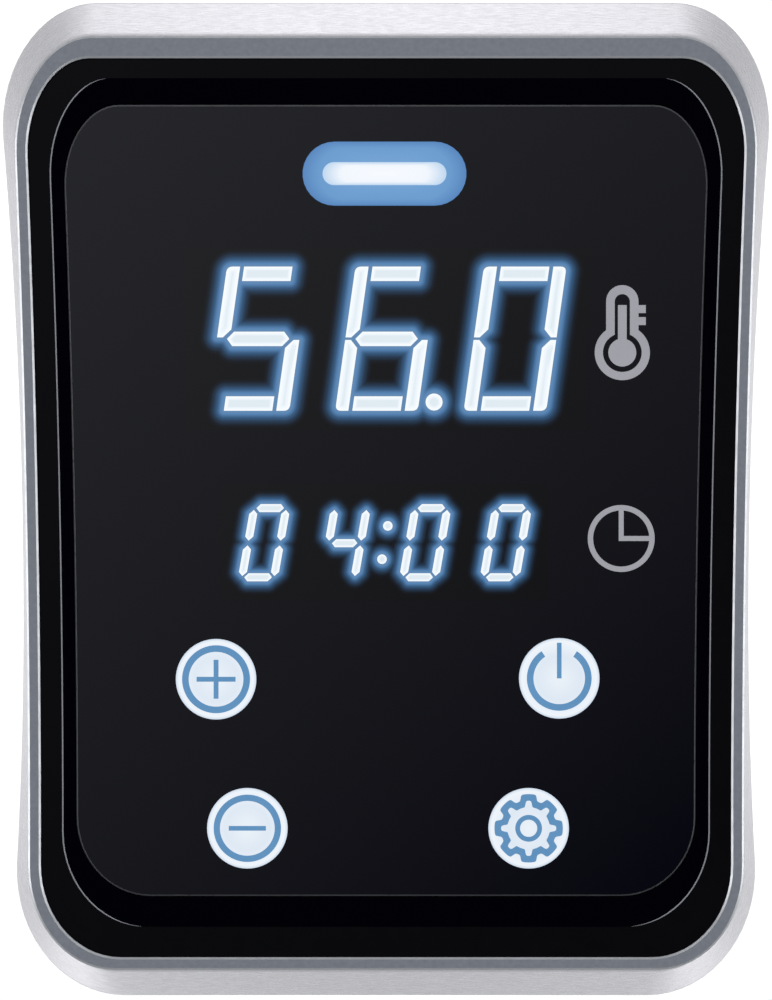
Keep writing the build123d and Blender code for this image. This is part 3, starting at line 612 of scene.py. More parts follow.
# ---- head sleeve ----
# The head's skin, hydroformed from stainless tube: round at the neck, it swells to a
# waisted rectangle, then folds in by a flat cone to the rim. Its brushing runs round it.
RIM_HALF = 35.8
RIM_WAIST = -33.0
SIDE_RADIUS = 1700.0
RIM_EDGE = (0.0, 0.0, 0.0, (7.7, 11.4, 8.6, 10.3))
BELLY_OUT = 1.47
BELLY_OUT_BACK = 4.8
BELLY_OUT_FRONT = 3.98
BELLY_WAIST = -12.3
BELLY_UPPER_RADIUS = 580.0
BELLY_LOWER_RADIUS = 452.0
BELLY_CORNERS = (9.8, 12.7, 11.2, 12.9)
BELLY_DROP = 12.5
RIM_HEIGHT = 1.4
EDGE_STEPS = 12
CORNER_STEPS = 16
SIDE_STEPS = 34


def corner_arc(half, edge, waist, radius, across, along):
    """Corner of an ellipse, tangent to the side's parabola and to the straight edge y = edge.

    The parabola is x = half + (y - waist)^2 / 2R. With y shrunk so that the ellipse is a
    circle, the tangent point is found by repeating: slope there, centre, new point.
    """
    flat = across / along
    edge, waist, radius = edge * flat, waist * flat, radius * flat**2
    way = 1 if edge > waist else -1
    touch = edge - way * across
    for _ in range(6):
        slope = (touch - waist) / radius
        touch = edge - way * across - across * slope / sqrt(1 + slope**2)
    x = half + (touch - waist) ** 2 / (2 * radius) - across / sqrt(1 + slope**2)
    y = edge - way * across
    turn = np.linspace(-atan(slope), way * pi / 2, CORNER_STEPS)
    return np.stack([x + across * np.cos(turn), (y + across * np.sin(turn)) / flat], axis=-1)


def outline(half, back, front, waist, upper, lower, corners):
    """Waisted rectangle, anticlockwise from the middle of its front edge.

    Right half: front edge, corner arc, the side's two parabolas, corner arc, back edge.
    The left half mirrors it. Every outline has the same count, so outlines can be joined.
    """
    high_arc = corner_arc(half, back, waist, upper, *corners[:2])
    low_arc = corner_arc(half, -front, waist, lower, *corners[2:])[::-1]
    side_y = np.linspace(low_arc[-1, 1], high_arc[0, 1], SIDE_STEPS)[1:-1]
    side_r = np.where(side_y > waist, upper, lower)
    side = np.stack([half + (side_y - waist) ** 2 / (2 * side_r), side_y], axis=-1)
    share = np.linspace(0, 1, EDGE_STEPS)[:-1, None]
    front_edge = np.array([[0, -front]]) + share * (low_arc[0] - np.array([[0, -front]]))
    back_edge = (high_arc[-1] + share * (np.array([[0, back]]) - high_arc[-1]))[1:]
    right = np.concatenate([front_edge, low_arc, side, high_arc, back_edge])
    left = right[1:][::-1] * (-1, 1)
    return np.concatenate([right, [[0, back]], left])


def face_outline(side, back, front, corners):
    """Outline of a piece of the control face, set in from the rim's outer edge."""
    sizes = RIM_HALF - side, RIM_BACK - back, RIM_FRONT - front
    return outline(*sizes, RIM_WAIST, SIDE_RADIUS, SIDE_RADIUS, corners)


def set_in(margins, by):
    """Margins (side, back, front, corners) of an outline set further in by a distance."""
    side, back, front, corners = margins
    return side + by, back + by, front + by, tuple(reach - by for reach in corners)


def at(shape, z, y=HEAD_Y):
    """An outline lifted to a height, about the head's centre."""
    return np.column_stack([shape[:, 0], shape[:, 1] + y, np.full(len(shape), z)])


def face_ring(margins, z, by=0.0):
    """Outline of a piece of the control face at a height, set further in by a distance."""
    return at(face_outline(*set_in(margins, by)), z)


def through(places, values, at_place):
    """Smooth curve through a few values: the one polynomial that meets them all."""
    return np.polyval(np.polyfit(places, values, len(places) - 1), at_place)


sleeve_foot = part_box("head_sleeve")[0].z / MM
sleeve_top = TOP - RIM_HEIGHT
belly = TOP - BELLY_DROP


def sleeve_section(t, inset=0.0):
    """Section at share t of the way from the neck's circle to the belly."""
    share = through([0, 0.4, 0.75, 1], [0, 0.3, 0.74, 1], t)
    swelling = [neck_radius - 0.3, neck_radius - 6, 20]
    rounds = [through([0, 0.4, 0.75, 1], [*swelling, corner], t) for corner in BELLY_CORNERS]
    start = neck_radius
    half = start + share * (RIM_HALF + BELLY_OUT - start) - inset
    back = start + share * (HEAD_Y + RIM_BACK + BELLY_OUT_BACK - start) - inset
    front = start + share * (RIM_FRONT + BELLY_OUT_FRONT - HEAD_Y - start) - inset
    flat = 1.0 / max(share, 0.02)
    reach = (back + front) / 2
    corners = [min(corner, reach * 0.995, half * 0.995) - inset for corner in rounds]
    sides = share * BELLY_WAIST, BELLY_UPPER_RADIUS * flat, BELLY_LOWER_RADIUS * flat
    shape = outline(half, reach, reach, *sides, corners)
    return at(shape, sleeve_foot + t * (belly - sleeve_foot), (back - front) / 2)


swell = [sleeve_section(t) for t in np.linspace(0, 1, 40)[:-1]]
belly_ring = sleeve_section(1.0)
shoulder_ring = face_ring(RIM_EDGE, sleeve_top)
rise = shoulder_ring - belly_ring
fold = [belly_ring + (swell[-1] - belly_ring) * 0.3, belly_ring + rise * 0.03]
shoulder = [belly_ring + rise * t for t in np.linspace(0.08, 0.985, 8)]
turned_in = face_ring(RIM_EDGE, sleeve_top - 0.02, 0.12)
inner_edge, inner_low = (
    face_ring(RIM_EDGE, z, 0.9) for z in (sleeve_top - 0.02, belly + 1)
)
inner_swell = [sleeve_section(t, 0.8) for t in np.linspace(0.98, 0, 14)]
sleeve_rings = np.stack([*swell, *fold, *shoulder, turned_in, inner_edge, inner_low, *inner_swell])
sleeve_steel = finish(
    "sleeve_brushed_steel", (209, 208, 214), (225, 224, 230), (0.22, 0.36), metallic=1.0,
    mottle=900.0, grain=1.0, depth=0.008, stretch=(900, 900, 4200),
)
sleeve_skin = skin(sleeve_rings, looped=True)
sleeve_shell = piece(
    "sleeve_shell", *sleeve_skin, "stick", "sleeve_steel", sleeve_steel, sharp=40
)
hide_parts("head_sleeve")

# ---- rim ring ----
# A frame milled from aluminium plate and anodised satin grey, pressed into the sleeve's
# mouth. Both its upper edges are cut bright by a diamond tool after anodising.
OPENING = (1.27, 2.2, 1.25, (6.2, 9.3, 8.0, 9.2))
BRIGHT_CUT = 0.2

rim_grey = finish(
    "rim_anodised", (96, 100, 109), (118, 122, 131), (0.5, 0.6), mottle=2200.0, grain=2400.0,
    depth=0.012,
)
cut_bright = finish(
    "rim_bright_cut", (190, 192, 196), (204, 206, 210), (0.36, 0.46), metallic=1.0, depth=0.001,
)
rim_rings = [
    face_ring(RIM_EDGE, sleeve_top),
    face_ring(RIM_EDGE, TOP - BRIGHT_CUT),
    face_ring(RIM_EDGE, TOP, BRIGHT_CUT),
    face_ring(OPENING, TOP, -BRIGHT_CUT),
    face_ring(OPENING, TOP - BRIGHT_CUT),
    face_ring(OPENING, sleeve_top),
]
rim_skin = skin(rim_rings, looped=True)
rim_shell = piece("rim_frame", *rim_skin, "stick", "rim_grey", rim_grey, cut_bright, sharp=20)


def repaint(made):
    """Gives the faces that slope, neither level nor near upright, the second material."""
    rise = np.array([face.normal.z for face in made.data.polygons])
    sloping = (rise > 0.3) & (rise < 0.95)
    made.data.polygons.foreach_set("material_index", sloping.astype(np.int32))


repaint(rim_shell)
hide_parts("rim_ring")

# ---- display bezel ----
# Gloss black moulding round the glass. Its inner band, inside a line along both sides and round the
# corners, takes a darker copy of the black without reflection: painted shade. Along that line lies
# a fine satin grey strip, a painted highlight, fading into the surface before the middle of each
# end.
HIGHLIGHT_LINE = (3.47, 4.2, 4.3, (6.0, 9.5, 8.5, 9.5))
HIGHLIGHT_WIDTH = 0.15
GLASS = (4.77, 6.8, 7.3, (5.5, 8.0, 7.5, 8.0))
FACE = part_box("cover_glass")[1].z / MM
bezel_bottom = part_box("display_bezel")[0].z / MM
SEAM = 0.06

bezel_black = finish(
    "bezel_gloss_black", (6, 6, 9), (9, 9, 12), (0.16, 0.24), mottle=80.0, grain=700.0,
    depth=0.0005, Specular_IOR_Level=0.07,
)
bezel_painted_shade = finish(
    "bezel_painted_shade_black", (2, 2, 6), (3, 3, 7), (0.3, 0.4), mottle=80.0, depth=0.0005,
    Specular_IOR_Level=0.0,
)
highlight_paint = finish(
    "painted_highlight_satin", (128, 130, 136), (142, 144, 150), (0.45, 0.6), metallic=0.5, depth=0.001,
)
bezel_rings = [
    face_ring(OPENING, FACE - 0.6, SEAM),
    face_ring(OPENING, FACE - 0.1, SEAM),
    face_ring(OPENING, FACE, SEAM + 0.1),
    face_ring(HIGHLIGHT_LINE, FACE),
    face_ring(GLASS, FACE, -0.1),
    face_ring(GLASS, FACE - 0.1),
    face_ring(GLASS, FACE - 2.0),
]
bezel_under = face_ring(OPENING, bezel_bottom, SEAM)
bezel_inner = face_ring(GLASS, FACE - 2.4, 2.6)
bezel_inner_low = face_ring(GLASS, bezel_bottom, 2.6)
bezel_skin = skin([bezel_under, *bezel_rings, bezel_inner, bezel_inner_low], looped=True)
bezel_shell = piece(
    "bezel_frame", *bezel_skin, "stick", "bezel_black", bezel_black, bezel_painted_shade, sharp=20
)
# Faces inward of the highlight line take the darker, unreflecting copy of the black: painted shade.
ring_of_face = np.arange(len(bezel_shell.data.polygons)) // len(belly_ring)
bezel_shell.data.polygons.foreach_set("material_index", (ring_of_face >= 4).astype(np.int32))
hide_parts("display_bezel")

# A thin satin grey strip along the highlight line is a painted highlight. It narrows and sinks into
# the surface towards the middle of each end.
highlight_outline = face_outline(*HIGHLIGHT_LINE)
highlight_middle = at(highlight_outline, FACE)
across_highlight = highlight_middle - face_ring(HIGHLIGHT_LINE, FACE, 1.0)
across_highlight /= np.linalg.norm(across_highlight, axis=1)[:, None]
from_end = np.minimum(RIM_BACK - HIGHLIGHT_LINE[1] - highlight_outline[:, 1], highlight_outline[:, 1] + RIM_FRONT - HIGHLIGHT_LINE[2])
highlight_fade = np.clip(from_end / 1.6, 0, 1) ** 0.5
arch = np.linspace(0, pi, 7)
highlight_rings = [
    highlight_middle
    + across_highlight * (cos(turn) * HIGHLIGHT_WIDTH / 2 * np.maximum(highlight_fade, 0.15))[:, None]
    + np.array([0, 0, 1]) * (0.09 * sin(turn) * highlight_fade - 0.012)[:, None]
    for turn in arch
]
highlight_rings.append(highlight_middle - (0, 0, 0.1))
highlight_skin = skin(highlight_rings, looped=True)
piece("bezel_painted_highlight", *highlight_skin, "stick", "trim_grey", highlight_paint, sharp=60)

# ---- cover glass ----
# Toughened glass, black printed on its back, with a ground edge. The displays, the touch
# keys and the light bar shine through clear windows in the print.
GROUND_EDGE = 0.16
GLASS_THICK = 2.0
GLASS_WAVE = 0.0004

glass_black, glass_tree, glass_shader = shaded(
    "black_backed_glass", roughness=0.035, IOR=1.5, Base_Color=tone(4, 4, 13)
)
glass_waves = node(glass_tree, "ShaderNodeTexNoise", Scale=14.0, Detail=2.0)
glass_where = node(glass_tree, "ShaderNodeTexCoord")
glass_relief = node(glass_tree, "ShaderNodeBump", Strength=1.0, Distance=GLASS_WAVE * MM)
link(
    glass_tree,
    (glass_where.outputs["Object"], glass_waves.inputs["Vector"]),
    (glass_waves.outputs["Fac"], glass_relief.inputs["Height"]),
    (glass_relief.outputs[0], glass_shader.inputs["Normal"]),
)
ground_edge = finish(
    "ground_glass_edge", (96, 97, 102), (112, 113, 118), (0.25, 0.4), metallic=0.6, grain=1400.0,
    depth=0.004,
)
INSIDE = set_in(GLASS, SEAM)
glass_centre = np.tile([[0.0, HEAD_Y, FACE]], (len(belly_ring), 1))
flat_top = face_ring(INSIDE, FACE, GROUND_EDGE)
glass_rings = [
    face_ring(INSIDE, FACE - GLASS_THICK, 0.1),
    face_ring(INSIDE, FACE - 1.8),
    face_ring(INSIDE, FACE - GROUND_EDGE),
    flat_top,
    *[flat_top + (glass_centre - flat_top) * share for share in (0.25, 0.6, 1.0)],
]
glass_skin = skin([glass_centre - (0, 0, GLASS_THICK), *glass_rings])
glass_plate = piece(
    "glass_plate", *glass_skin, "stick", "glass_black", glass_black, ground_edge, sharp=20
)
repaint(glass_plate)
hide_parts("cover_glass")

# ---- light bar and touch keys ----
# Light guides that come up through the print, flush with the glass: a blue bar with a
# white core that glows while the bath heats, and four white discs with printed signs.
PROUD = 0.03
SIGN_PROUD = 0.045


def glowing(name, stops, roughness=0.08):
    """Lit surface: its glow attribute, 0 to 1, picks the colour that it gives off."""
    lamp = {"Specular_IOR_Level": 0.5, "Base_Color": tone(4, 4, 8), "Emission_Strength": 1.0}
    made, tree, shader = shaded(name, roughness=roughness, **lamp)
    reading = node(tree, "ShaderNodeAttribute", attribute_name="glow")
    ramp = node(tree, "ShaderNodeValToRGB")
    for _ in range(len(stops) - 2):
        ramp.color_ramp.elements.new(0.5)
    for element, (place, colour) in zip(ramp.color_ramp.elements, stops):
        element.position = place
        element.color = tone(*colour)
    link(
        tree,
        (reading.outputs["Fac"], ramp.inputs["Fac"]),
        (ramp.outputs["Color"], shader.inputs["Emission Color"]),
    )
    return made


def stadium(length, width, steps=16):
    """Outline with two straight sides and two half-round ends, anticlockwise."""
    reach = (length - width) / 2
    turn = np.linspace(-pi / 2, pi / 2, steps)
    right = np.stack([reach + width / 2 * np.cos(turn), width / 2 * np.sin(turn)], axis=-1)
    return np.concatenate([right, -right])


def plaque(shape, x, y, z, shares=(1.0, 0.97, 0.85, 0.7, 0.5, 0.25, 0.0), rise=0.02):
    """Thin plate with a faintly crowned top: the outline drawn in towards its centre.

    Height is z + rise * (1 - share^2); glow runs from 1 at the edge to 0 at the centre.
    """
    rings = [at(shape + (x, y), z - 0.3)]
    rings += [at(shape * share + (x, y), z + rise * (1 - share**2)) for share in shares]
    glow = np.repeat([1.0, *shares], len(shape))
    return *skin(rings), glow


def plate(shape, z):
    """Thin flat plate of a convex outline, closed by a point at its middle."""
    middle = np.tile(shape.mean(axis=0), (len(shape), 1))
    return skin([at(shape, z - 0.05), at(shape, z), at(middle, z)])


def merged(*skins):
    """Skins that carry a glow, as one."""
    points, faces = together(*[one[:2] for one in skins])
    return points, faces, np.concatenate([one[2] for one in skins])


def lit(name, made, slot, material):
    """A lit piece on the control face; its made skin carries a glow."""
    points, faces, glow = made
    return piece(name, points, faces, "stick", slot, material, attributes=[("glow", glow)])


BAR = (-0.15, 32.65)
BAR_LENS = (16.4, 6.4)
BAR_CORE = (12.4, 2.3)
bar_glow = glowing(
    "bar_blue_glow", [(0.0, (118, 166, 214)), (0.8, (104, 154, 205)), (1.0, (84, 132, 188))]
)
core_glow = glowing(
    "bar_core_glow", [(0.0, (246, 249, 254)), (0.7, (240, 245, 252)), (1.0, (190, 214, 238))]
)
bar_lens = lit("bar_lens", plaque(stadium(*BAR_LENS), *BAR, FACE + PROUD), "bar_blue", bar_glow)
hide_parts("light_bar_lens")
bar_core_skin = plaque(stadium(*BAR_CORE), *BAR, FACE + 0.06, rise=0.01)
bar_core = lit("bar_core", bar_core_skin, "bar_white", core_glow)
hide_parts("light_bar_core")

KEY_RADIUS = 4.03
KEYS = {
    "plus_key": (-17.0, -17.93),
    "power_key": (17.33, -17.84),
    "minus_key": (-13.87, -32.84),
    "settings_key": (14.27, -32.84),
}
key_glow = glowing(
    "key_glow",
    [
        (0.0, (234, 241, 248)),
        (0.55, (222, 232, 243)),
        (0.93, (238, 244, 250)),
        (1.0, (206, 220, 236)),
    ],
)
sign_print = finish(
    "sign_print", (72, 120, 160), (90, 136, 174), (0.4, 0.5), mottle=300.0, grain=3000.0,
    depth=0.001, Emission_Color=tone(92, 150, 202), Emission_Strength=0.2,
)


def disc(radius, steps=64):
    """A circle, anticlockwise."""
    return polar(radius, np.arange(steps) * 2 * pi / steps)


def band(outer, inner, x, y, z, closed=True, foot=0.04):
    """Flat printed band between two lines of points, closed round or left open at its ends."""
    outer, inner = outer + (x, y), inner + (x, y)
    rings = [at(inner, z - foot), at(outer, z - foot), at(outer, z), at(inner, z)]
    if closed:
        return skin(rings, looped=True)
    rows = np.stack(rings, axis=1)
    points = rows.reshape(-1, 3)
    faces = grid_faces(len(rows), 4, wrapped=True)[:, ::-1]
    ends = np.array([[0, 1, 2, 3], np.arange(4)[::-1] + 4 * (len(rows) - 1)])
    return points, np.concatenate([faces, ends])


def bar(x, y, width, height, z):
    """A small upright or level printed bar."""
    corners = np.array([(-1, -1), (1, -1), (1, 1), (-1, 1)]) * (width / 2, height / 2)
    points = np.concatenate([at(corners + (x, y), z - 0.04), at(corners + (x, y), z)])
    sides = [(0, 1, 5, 4), (1, 2, 6, 5), (2, 3, 7, 6), (3, 0, 4, 7), (4, 5, 6, 7), (3, 2, 1, 0)]
    return points, np.array(sides)


def arc(radius, start, end, steps=64):
    """Points round part of a circle, angles in degrees."""
    return polar(radius, np.radians(np.linspace(start, end, steps)))


def cog(radius, depth, teeth, wider, steps=192):
    """Gear outline, stepping smoothly between tips and valleys; wider widens the teeth."""
    turn = np.arange(steps) * 2 * pi / steps
    tip = 0.5 + 0.5 * np.tanh(3.5 * (np.cos(teeth * turn) + wider))
    return polar(radius - depth * (1 - tip), turn)


signs_z = FACE + PROUD + SIGN_PROUD
px, py = KEYS["plus_key"]
wx, wy = KEYS["power_key"]
mx, my = KEYS["minus_key"]
gx, gy = KEYS["settings_key"]
SIGNS = {
    "plus_key": [
        band(disc(3.40), disc(2.74), px, py, signs_z),
        bar(px, py, 3.9, 0.49, signs_z),
        bar(px, py, 0.49, 3.9, signs_z + 0.002),
    ],
    "power_key": [
        band(arc(3.24, 123, 417), arc(2.58, 123, 417), wx, wy, signs_z, closed=False),
        bar(wx, wy + 1.78, 0.46, 3.57, signs_z),
    ],
    "minus_key": [band(disc(3.37), disc(2.74), mx, my, signs_z), bar(mx, my, 3.72, 0.47, signs_z)],
    "settings_key": [
        band(cog(3.42, 0.64, 8, 0.5), cog(2.78, 0.66, 8, -0.5), gx, gy, signs_z),
        band(disc(1.34), disc(0.86), gx, gy, signs_z),
    ],
}
for name, (x, y) in KEYS.items():
    key = lit(f"{name}_disc", plaque(disc(KEY_RADIUS), x, y, FACE + PROUD), "key_white", key_glow)
    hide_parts(name)
    piece(f"{name}_sign", *together(*SIGNS[name]), "stick", "bar_blue", sign_print, sharp=20)

# ---- lit displays ----
# Seven-bar figures of white light guide behind the glass: three large ones for the water's
# temperature and four small ones for the timer. Round each, the blue light spreading in the window
# is painted as a glow on a flat sheet just over the glass.
SEGMENT_LIFT = 0.03
HALO_LIFT = 0.01
BIG_REACH = 1.72
SMALL_REACH = 1.3
BIG_TALL = 14.42
BIG_SLANT = tan(radians(8.0))
BIG_BASE = 8.93
BIG_PITCH = 12.85
BIG_FIRST = -13.8
SMALL_SLANT = tan(radians(10.0))
SMALL_BASE = -8.13
SMALL_PITCH = 8.06
SMALL_FIRST = -12.87
FIGURES = {"0": "abcdef", "4": "bcfg", "5": "acdfg", "6": "acdefg"}


def big_segments():
    """Outlines of the seven bars of a large figure, upright, about its foot's middle.

    The upright bars have one rounded outer corner and one cut to clear the middle bar.
    """
    inner, outer, top, thick = 2.82, 4.13, BIG_TALL, 1.44
    middle = top / 2 - 0.02
    ease = eased([(inner, top), (outer, top), (outer, middle + 0.15)], 1.0, steps=7)
    ends = [(inner, middle + 0.95)], [(outer - 0.57, middle + 0.15)]
    right_top = np.concatenate([ends[0], ease, ends[1]])[::-1]
    level = np.array([(-2.42, 0), (2.42, 0), (2.42, thick), (-2.42, thick)])
    half = thick / 2
    lower = [(-3.12, 0), (-2.5, -half), (2.5, -half)]
    across = np.array([*lower, (3.12, 0), (2.5, half), (-2.5, half)])

    def flip_x(shape):
        return (shape * (-1, 1))[::-1]

    def flip_y(shape):
        return (shape * (1, -1) + (0, top))[::-1]

    return {
        "a": level + (0, top - thick),
        "b": right_top,
        "c": flip_y(right_top),
        "d": level,
        "e": flip_x(flip_y(right_top)),
        "f": flip_x(right_top),
        "g": across + (0, middle),
    }


def small_segments():
    """Outlines of the seven bars of a small figure: pointed bars, 0.8 mm wide."""

    def level(y, reach):
        low = [(-reach, 0), (0.36 - reach, -0.4), (reach - 0.36, -0.4)]
        return np.array([*low, (reach, 0), (reach - 0.36, 0.4), (0.36 - reach, 0.4)]) + (0, y)

    def standing(x, low, high):
        right = [(0, low), (0.4, low + 0.4), (0.4, high - 0.4)]
        return np.array([*right, (0, high), (-0.4, high - 0.4), (-0.4, low + 0.4)]) + (x, 0)

    return {
        "a": level(7.32, 1.37),
        "b": standing(1.6, 4.07, 7.13),
        "c": standing(1.6, 0.53, 3.58),
        "d": level(0.4, 1.38),
        "e": standing(-1.6, 0.53, 3.58),
        "f": standing(-1.6, 4.07, 7.13),
        "g": level(3.81, 1.27),
    }


def written(text, segments, first, pitch, base, slant):
    """Slanted outlines of all the lit bars of a number."""
    shapes = []
    for place, figure in enumerate(text):
        for letter in FIGURES[figure]:
            shape = segments[letter]
            shapes.append(shape + np.outer(shape[:, 1], (slant, 0)) + (first + pitch * place, base))
    return shapes


def distance(points, shapes):
    """Distance of each point to the nearest side of any outline, by projecting on each side."""
    nearest = np.full(len(points), 1e9)
    for shape in shapes:
        start, end = shape, np.roll(shape, -1, axis=0)
        side = end - start
        offset = points[:, None, :] - start[None]
        share = np.clip((offset * side).sum(-1) / (side**2).sum(-1), 0, 1)
        gap = offset - share[..., None] * side
        nearest = np.minimum(nearest, np.sqrt((gap**2).sum(-1)).min(axis=1))
    return nearest


def drawn_in(shape, by):
    """Convex outline offset inwards: each corner moves to where the shifted sides cross."""

    def inward(side):
        return np.stack([-side[:, 1], side[:, 0]], axis=-1) / np.linalg.norm(side, axis=1)[:, None]

    first = inward(shape - np.roll(shape, 1, axis=0))
    second = inward(np.roll(shape, -1, axis=0) - shape)
    spread = 1 + (first * second).sum(-1)
    return shape + by * (first + second) / spread[:, None]


def segment(shape, z):
    """A lit bar: flat top with a brighter border, its middle a touch darker."""
    inner = drawn_in(shape, 0.3 * min(np.ptp(shape[:, 0]), np.ptp(shape[:, 1])))
    middle = np.tile(inner.mean(axis=0), (len(shape), 1))
    rings = [at(shape, z - 0.02), at(shape, z), at(inner, z), at(middle, z)]
    glow = np.repeat([1.0, 1.0, 0.0, 0.0], len(shape))
    return *skin(rings), glow


def halo(name, shapes, low, high, reach, spacing=0.2):
    """Painted light over a display: a fine flat sheet just over the glass, whose glow falls with
    distance from the bars.
    """
    across, along = (np.arange(low[i], high[i] + spacing / 2, spacing) for i in (0, 1))
    x, y = np.meshgrid(across, along)
    flat = np.stack([x.ravel(), y.ravel()], axis=-1)
    far = np.clip(1 - distance(flat, shapes) / reach, 0, 1)
    points = at(flat, FACE + HALO_LIFT)
    return lit(name, (points, grid_faces(len(along), len(across)), far), "glass_black", halo_glow)


segment_glow = glowing(
    "segment_glow",
    [(0.0, (222, 233, 240)), (0.35, (236, 244, 250)), (1.0, (250, 254, 255))],
    roughness=0.3,
)
halo_glow = glowing(
    "halo_glow",
    [
        (0.0, (0, 0, 0)),
        (0.16, (8, 18, 29)),
        (0.38, (28, 51, 75)),
        (0.6, (48, 86, 124)),
        (0.82, (84, 130, 178)),
        (1.0, (100, 138, 177)),
    ],
    roughness=0.035,
)
big_bars = written("560", big_segments(), BIG_FIRST, BIG_PITCH, BIG_BASE, BIG_SLANT)
small_bars = written("0400", small_segments(), SMALL_FIRST, SMALL_PITCH, SMALL_BASE, SMALL_SLANT)
point = disc(0.85, 32) + (4.81, 9.8)
colon = [disc(0.48, 24) + place for place in ((0.18, -2.59), (-0.40, -5.92))]
lit_z = FACE + SEGMENT_LIFT
temperature_figures = merged(*[segment(shape, lit_z) for shape in [*big_bars, point]])
lit("temperature_figures", temperature_figures, "key_white", segment_glow)
timer_figures = merged(*[segment(shape, lit_z) for shape in [*small_bars, *colon]])
lit("timer_figures", timer_figures, "key_white", segment_glow)
halo("temperature_halo", [*big_bars, point], (-20.0, 7.0), (20.4, 25.3), BIG_REACH)
halo("timer_halo", [*small_bars, *colon], (-16.5, -10.0), (16.2, 1.6), SMALL_REACH)

# ---- printed signs beside the displays ----
# A thermometer and a clock, screen printed in grey on the glass, say which number is which.
# The print's faint glow of its own, its Emission_Color, is painted light that lightens it on the
# dark glass.
sign_grey = finish(
    "sign_grey", (132, 132, 139), (146, 146, 153), (0.45, 0.6), mottle=200.0, grain=2500.0,
    depth=0.001, Emission_Color=tone(165, 165, 170), Emission_Strength=0.2,
)
print_z = FACE + SEGMENT_LIFT


def bulb_outline(bulb, stem, top):
    """Thermometer outline about its bulb's centre: most of a circle and a round-topped stem."""
    open_half = np.degrees(np.arcsin(stem / bulb))
    round_bulb = arc(bulb, 90 + open_half, 450 - open_half, 40)
    cap = arc(stem, 0, 180, 17) + (0, top - stem)
    return np.concatenate([round_bulb, cap])


bulb_x, bulb_y = 23.64, 14.75
thermometer = [
    band(bulb_outline(2.765, 1.62, 6.75), bulb_outline(1.94, 0.76, 5.85), bulb_x, bulb_y, print_z),
    plate(disc(1.40, 40) + (bulb_x, bulb_y), print_z),
    bar(bulb_x, bulb_y + 2.9, 0.88, 3.7, print_z - 0.002),
    bar(bulb_x + 1.8, bulb_y + 4.35, 1.1, 0.8, print_z - 0.001),
    bar(bulb_x + 1.8, bulb_y + 3.15, 1.1, 0.8, print_z - 0.001),
]
piece("thermometer_sign", *together(*thermometer), "stick", "trim_grey", sign_grey, sharp=20)
clock_x, clock_y = 23.53, -3.85
clock = [
    band(disc(3.35), disc(2.81), clock_x, clock_y, print_z),
    bar(clock_x, clock_y + 1.40, 0.5, 3.3, print_z - 0.001),
    bar(clock_x + 1.40, clock_y, 3.3, 0.5, print_z - 0.002),
]
piece("clock_sign", *together(*clock), "stick", "trim_grey", sign_grey, sharp=20)

# ---- clamp ----
# A glass filled nylon bracket that grips the housing tube through a soft liner and hooks
# over the pot's wall. A brass insert carries the screw that presses the pad to the wall.
clamp_nylon = finish(
    "clamp_nylon", (33, 34, 37), (45, 46, 50), (0.4, 0.6), mottle=55.0, grain=1700.0, depth=0.035,
)
pad_rubber = finish(
    "pad_rubber", (44, 45, 48), (56, 57, 60), (0.6, 0.8), mottle=90.0, grain=1200.0, depth=0.03,
)
turned_brass = finish(
    "turned_brass", (186, 152, 88), (206, 172, 104), (0.22, 0.36), metallic=1.0, grain=1.0,
    depth=0.004, stretch=(900, 4000, 900),
)
drawn_steel = finish(
    "drawn_steel", (166, 168, 172), (190, 192, 196), (0.2, 0.34), metallic=1.0, grain=1.0,
    depth=0.003, stretch=(2400, 2400, 60),
)
knob_nylon = finish(
    "knob_nylon", (26, 27, 30), (36, 37, 40), (0.34, 0.5), mottle=80.0, grain=1500.0, depth=0.02,
)

screw_low, screw_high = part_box("clamp_screw")
screw_z = (screw_low.z + screw_high.z) / 2 / MM
knob_low, knob_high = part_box("clamp_knob")
SCREW_PITCH = 1.5
SCREW_RADIUS = 3.5
THREAD_DEPTH = 0.55
screw_start, screw_end = screw_low.y / MM, screw_high.y / MM
steps_along = int((screw_end - screw_start) / SCREW_PITCH * 12)
thread_y = np.linspace(screw_start, screw_end, steps_along)
thread_profile = np.column_stack([np.full(steps_along, SCREW_RADIUS), thread_y])


def thread(turn, profile):
    """A helical groove: its depth is a triangle wave of height over pitch less turn."""
    phase = (profile[:, 1:] / SCREW_PITCH - turn / (2 * pi)) % 1.0
    near_end = np.minimum(profile[:, 1:] - screw_start, screw_end - profile[:, 1:])
    return -THREAD_DEPTH * (1 - abs(2 * phase - 1)) - 0.5 * np.clip(1 - near_end, 0, 1)


thread_rings = lying(turned(thread_profile, 40, ripple=thread), screw_z)
foot_end, head_end = (np.tile(thread_rings[k].mean(axis=0), (1, 40, 1)) for k in (0, -1))
thread_skin = skin(np.concatenate([foot_end, thread_rings, head_end]))
screw_thread = piece(
    "screw_thread", *thread_skin, "hand_screw", "steel_plain", drawn_steel, sharp=60
)
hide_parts("clamp_screw")

KNOB_RADIUS = 11.0
SCALLOPS = 8
SCALLOP_DEPTH = 1.35
knob_start, knob_end = knob_low.y / MM, knob_high.y / MM


def scallops(turn, profile):
    """Smooth dips for the fingers, only where the knob is full width."""
    full = np.clip((profile[:, :1] - 8.5) / 1.5, 0, 1)
    return -SCALLOP_DEPTH * full * (0.5 + 0.5 * np.cos(SCALLOPS * turn)) ** 3


